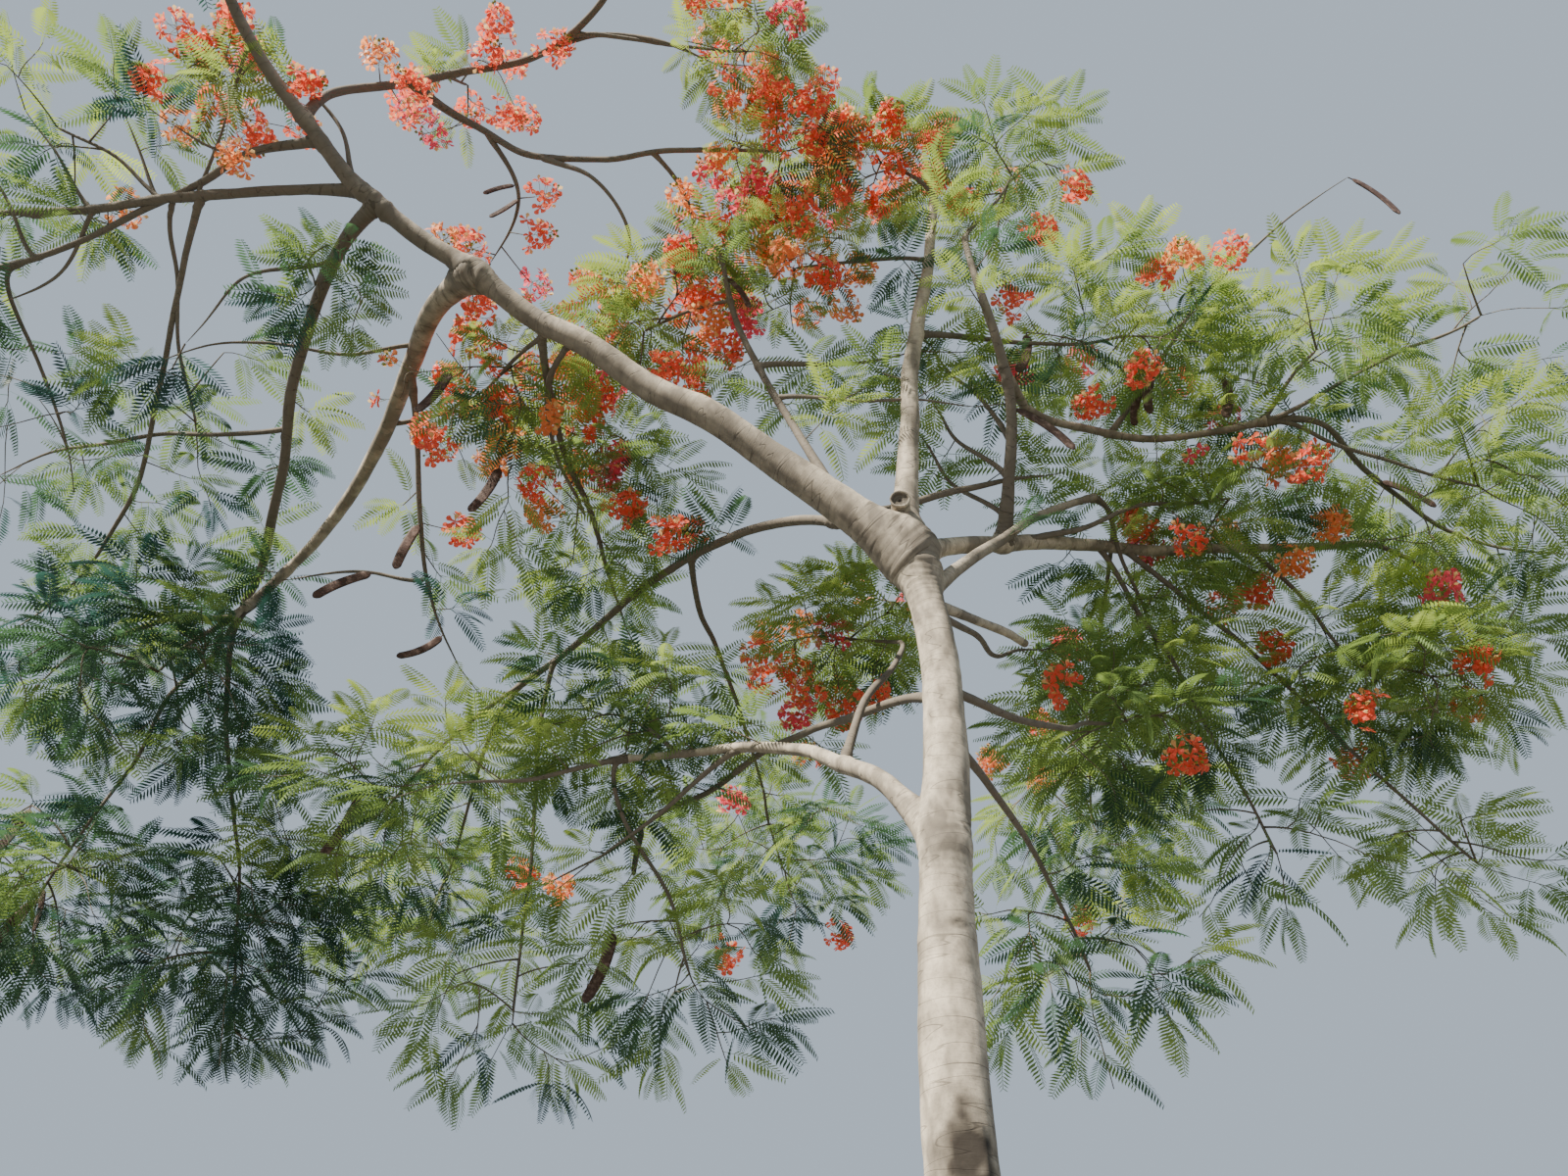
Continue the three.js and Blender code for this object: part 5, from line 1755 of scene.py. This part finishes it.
@functools.lru_cache(maxsize=None)
def raceme_places(room, flowers):
    """Flowers, buds and stalks of every raceme: a dome of flowers on long stalks with buds at its top."""
    flower_rows, bud_rows, stalks = [], [], []
    for m, line, _, seed in grown(room).racemes:
        random = np.random.default_rng(seed)
        outward = unit(line[-1] - line[0])
        if m >= 0:
            outward = unit(line[-1] - skeleton()[1][MASSES[m].name].points[-1])
        lifted = np.array([0, 0, random.uniform(0.1, 0.8)])
        axis = unit(unit(line[-1] - line[-2]) * 0.5 + outward * 0.5 + lifted)
        side = unit(np.cross(axis, unit(random.normal(size=3))))
        other = np.cross(axis, side)
        reach = random.uniform(*RACEME_LENGTH)
        count = int(flowers * random.uniform(*FLOWER_COUNTS))
        hue = random.choice(3, p=RED_SHARES)
        stalks.append((line[-1], line[-1] + axis * reach * 0.55, line[-1] + axis * reach))
        for k in range(count + TOP_BUDS):
            t = k / (count + TOP_BUDS - 1)
            root = line[-1] + axis * reach * (0.1 + 0.9 * t)
            phase = math.radians(k * GOLDEN_ANGLE + random.uniform(-20, 20))
            lean = FOOT_FLOWER_LEAN - (FOOT_FLOWER_LEAN - TOP_FLOWER_LEAN) * t
            lean = math.radians(lean + random.uniform(-10, 10))
            spoke = side * math.cos(phase) + other * math.sin(phase)
            way = unit(axis * math.cos(lean) + spoke * math.sin(lean))
            stalk = (FOOT_STALK - (FOOT_STALK - TOP_STALK) * t) * random.uniform(0.85, 1.15)
            bud = k >= count
            end = root + way * stalk * (BUD_STALK if bud else 1)
            strays = m >= 0 and not in_ball(end[None], m, BALL_SLACK)[0]
            if strays or (end < LOW + 0.01).any() or (end > HIGH - 0.01).any():
                continue
            stalks.append((root, (root + end) / 2 + np.array([0, 0, -0.004]), end))
            if bud:
                bud_rows.append((*end, *way, random.uniform(0.7, 1.2)))
            else:
                facing = unit(way + 0.3 * spoke + 0.35 * random.normal(size=3))
                flower_rows.append((*end, *facing, random.uniform(0.85, 1.12), random.integers(0, 3), hue))
    flower_rows, bud_rows, stalks = np.array(flower_rows), np.array(bud_rows), np.array(stalks)
    # A stalk goes by its end, as what sits there does.
    ends = flower_rows[:, :3], bud_rows[:, :3], stalks[:, -1]
    return [rows[~hiding(end)] for rows, end in zip((flower_rows, bud_rows, stalks), ends)]


class FLAME_OT_blossom(bpy.types.Operator):
    """Deals flowers out to every raceme, in three reds, each with its pale petal"""

    bl_idname = "flame.blossom"
    bl_label = "Blossom"

    def execute(self, context):
        settings = context.scene.flame_blossom
        rows, _, _ = raceme_places(context.scene.flame_leaves.room, settings.flowers)
        if not len(rows):
            raise RuntimeError("no flower fits its mass")
        red, pale = flower_kinds(settings)
        facing = rows[:, 3:6]
        # The pale petal is uppermost, so a flower's X axis is turned up as far as its facing lets it.
        upward = unit(np.array([0, 0, 1.0]) - facing * facing[:, 2:3] + 1e-4)
        angles = turns(upward, facing)
        for number, (name, glow) in enumerate(PETAL_GLOWS.items()):
            # Petals: crepe-thin and satiny, in reds that glow where the light comes through.
            tint = getattr(settings, name)
            material = thin_material(f"Satiny petal, {name}", tint, linear(glow), 0.45, 20 * MM, 0.5, 0.2)
            own = rows[:, 8] == number
            marks = rows[own, :3], angles[own], rows[own, 6], rows[own, 7]
            deal_out("blossom_" + name, red, *marks, material, "blossom", FLOWERING_MASSES)
        # The pale petal: thinner still, in pale yellow-orange.
        pale_glow = linear("ffe0a0")
        material = thin_material("Satiny petal, pale", settings.standard, pale_glow, 0.45, 12 * MM, 0.4)
        marks = rows[:, :3], angles, rows[:, 6], rows[:, 7]
        deal_out("blossom_pale_petals", pale, *marks, material, "blossom", FLOWERING_MASSES)
        return {"FINISHED"}


class FLAME_OT_buds(bpy.types.Operator):
    """Adds the racemes' stalks and buds"""

    bl_idname = "flame.buds"
    bl_label = "Buds and stalks"

    def execute(self, context):
        settings = context.scene.flame_blossom
        _, rows, stalks = raceme_places(context.scene.flame_leaves.room, settings.flowers)
        # Green flower stalks and buds: fleshy and smooth, with a soft gloss.
        material = thin_material("Fleshy green bud", settings.bud, linear("b0c050"), 0.4, 10 * MM, 0.12)
        angles = turns(rows[:, 3:6], np.array([[0.1, 0.2, 1.0]]).repeat(len(rows), axis=0))
        marks = rows[:, :3], angles, rows[:, 6], np.zeros(len(rows))
        deal_out("buds", [bud_kind(BUD_LENGTH)], *marks, material, "foliage", FLOWERING_MASSES)
        rings, _ = tubes(stalks, np.full(stalks.shape[:2], STALK_RADIUS), 3)
        faces = tube_faces(len(stalks), stalks.shape[1], 3)
        piece("flower_stalks", rings.reshape(-1, 3), faces, material, replaced=FLOWERING_MASSES)
        return {"FINISHED"}


class FLAME_OT_pods(bpy.types.Operator):
    """Hangs the long woody pods"""

    bl_idname = "flame.pods"
    bl_label = "Pods"

    def execute(self, context):
        settings = context.scene.flame_pods
        limbs, stems = skeleton()
        growth = grown(context.scene.flame_leaves.room)
        hung = [(start, heading, *POD_PITCH, 1.0) for start, heading in growth.pods]
        for name, share, heading, first, last, size in SINGLE_PODS:
            limb = limbs[name] if name in limbs else stems[name]
            hung.append((limb.smooth([share])[0], heading, first, last, size))
        # Ripe pods: woody, dark brown with a purplish cast, dull with a worn bloom.
        material, tree, place = new_material("Woody brown pod")
        wear = add(tree, NOISE, {"Vector": place, "Scale": 1 / (45 * MM), "Detail": 4, "Roughness": 0.65})
        wear = add(tree, RANGE, {"Value": wear, "From Min": 0.5, "From Max": 0.68})
        fine = add(tree, NOISE, {"Vector": place, "Scale": 1 / (6 * MM), "Detail": 3, "Roughness": 0.6})
        tones = {0: wear, 6: rgba(settings.skin), 7: rgba(settings.worn)}
        tone = add(tree, MIX, tones, data_type="RGBA")
        bump = add(tree, BUMP, {"Strength": 0.4, "Distance": 1 * MM, "Height": fine})
        skin = add(tree, SKIN, {"Base Color": tone, "Roughness": 0.72, "Normal": bump, "IOR": 1.45})
        add(tree, SHOWN, {"Surface": skin})
        t = np.linspace(0, 1, POD_RINGS)
        turn = np.arange(POD_SIDES) * 2 * np.pi / POD_SIDES
        all_places = []
        for number, (start, heading, first, last, size) in enumerate(hung):
            random = np.random.default_rng(number)
            reach = settings.pod * size * random.uniform(0.94, 1.04)
            bend = random.uniform(-8, 8)
            line = run(start, reach, (heading, heading + bend), (first, last), POD_RINGS - 1)
            # A thin stalk, the body and a short beak.
            body = np.clip((t - POD_STALK) / POD_SHOULDER, 0, 1) * np.clip((1 - t) / POD_BEAK, 0, 1)
            full = 0.12 + 0.88 * np.sqrt(body) * (0.86 + 0.14 * np.sin(np.pi * t))
            half_width = settings.width * min(1, size) / 2 * full
            swell = 0.75 + 0.25 * np.abs(np.sin(np.pi * POD_SEEDS * t))
            half_thick = np.minimum(half_width, 0.0036 + 0.0034 * body * swell)
            way = unit(np.gradient(line, axis=0))
            flat_side = unit(np.cross(way, direction(heading, 0)))
            wide_side = np.cross(way, flat_side)
            # The rim is a little thicker than the valves beside it.
            rim = 1 + 0.5 * np.abs(np.cos(turn)) ** 6
            across = np.cos(turn)[None, :, None] * wide_side[:, None] * half_width[:, None, None]
            deep = (np.sign(np.sin(turn)) * np.abs(np.sin(turn)) ** 0.6 * rim)[None, :, None]
            all_places.append(line[:, None] + across + deep * flat_side[:, None] * half_thick[:, None, None])
        places = np.array(all_places).reshape(-1, 3)
        faces = tube_faces(len(hung), POD_RINGS, POD_SIDES)
        bearing = [mass.name for mass in MASSES if mass.pods]
        piece("pods", places, faces, material, replaced=bearing)
        return {"FINISHED"}


class FLAME_OT_stage(bpy.types.Operator):
    """Lays the pale floor, and sets the lights and the photograph's camera"""

    bl_idname = "flame.stage"
    bl_label = "Floor, lights and camera"

    def execute(self, context):
        settings = context.scene.flame_stage
        scene = context.scene
        camera = bpy.data.cameras.new("Camera")
        camera.lens, camera.sensor_width, camera.clip_end = LENS, SENSOR, 400
        eye = bpy.data.objects.new("Camera", camera)
        eye.location = CAMERA_PLACE
        eye.rotation_euler = (math.radians(CAMERA_TILT), 0, 0)
        scene.collection.objects.link(eye)
        scene.camera = eye
        sun = bpy.data.lights.new("Sun", "SUN")
        sun.energy, sun.angle, sun.color = settings.sun, math.radians(2), linear("fff4e2")
        key = bpy.data.objects.new("Sun", sun)
        key.rotation_euler = Vector(SUN_FROM).to_track_quat("Z", "Y").to_euler()
        scene.collection.objects.link(key)
        world = bpy.data.worlds.new("Pale surround")
        scene.world = world
        world.use_nodes = True
        tree = world.node_tree
        tree.nodes.clear()
        even = {"Color": rgba(settings.surround), "Strength": settings.fill}
        light = add(tree, "ShaderNodeBackground", even)
        add(tree, "ShaderNodeOutputWorld", {"Surface": light})
        mesh = bpy.data.meshes.new("floor")
        corners = [(x * FLOOR_HALF, y * FLOOR_HALF, 0) for x, y in ((-1, -1), (1, -1), (1, 1), (-1, 1))]
        mesh.from_pydata(corners, [], [(0, 1, 2, 3)])
        floor = bpy.data.objects.new("floor", mesh)
        # Trowelled plaster: matt and even, with a faint cloudy mottle.
        material, tree, place = new_material("Pale plaster floor")
        mottle = add(tree, NOISE, {"Vector": place, "Scale": 1 / (400 * MM), "Detail": 3, "Roughness": 0.5})
        paler = [min(1, 1.06 * value) for value in settings.floor]
        tones = {0: mottle, 6: rgba(settings.floor), 7: rgba(paler)}
        tone = add(tree, MIX, tones, data_type="RGBA")
        skin = add(tree, SKIN, {"Base Color": tone, "Roughness": 0.9})
        add(tree, SHOWN, {"Surface": skin})
        mesh.materials.append(material)
        scene.collection.objects.link(floor)
        return {"FINISHED"}


OPERATORS = (
    FLAME_OT_stage,
    FLAME_OT_bark,
    FLAME_OT_stub,
    FLAME_OT_branches,
    FLAME_OT_twigs,
    FLAME_OT_leaves,
    FLAME_OT_blossom,
    FLAME_OT_buds,
    FLAME_OT_pods,
)
GROUPS = {
    "flame_bark": FlameTreeBark,
    "flame_leaves": FlameTreeLeaves,
    "flame_blossom": FlameTreeBlossom,
    "flame_pods": FlameTreePods,
    "flame_stage": FlameTreeStage,
}


class FLAME_PT_panel(bpy.types.Panel):
    """Lists the tree's sizes, colours and makers"""

    bl_label = "Flame tree"
    bl_idname = "FLAME_PT_panel"
    bl_space_type = "VIEW_3D"
    bl_region_type = "UI"
    bl_category = "Flame tree"

    def draw(self, context):
        for group, kind in GROUPS.items():
            box = self.layout.box()
            for name in kind.__annotations__:
                box.prop(getattr(context.scene, group), name)
        for operator in OPERATORS:
            self.layout.operator(operator.bl_idname)


def register():
    for group, kind in GROUPS.items():
        bpy.utils.register_class(kind)
        setattr(bpy.types.Scene, group, bpy.props.PointerProperty(type=kind))
    for kind in (*OPERATORS, FLAME_PT_panel):
        bpy.utils.register_class(kind)


def unregister():
    for kind in (FLAME_PT_panel, *reversed(OPERATORS)):
        bpy.utils.unregister_class(kind)
    for group, kind in GROUPS.items():
        delattr(bpy.types.Scene, group)
        bpy.utils.unregister_class(kind)


def main():
    register()
    for operator in OPERATORS:
        family, name = operator.bl_idname.split(".")
        getattr(getattr(bpy.ops, family), name)()


if __name__ == "__main__":
    main()
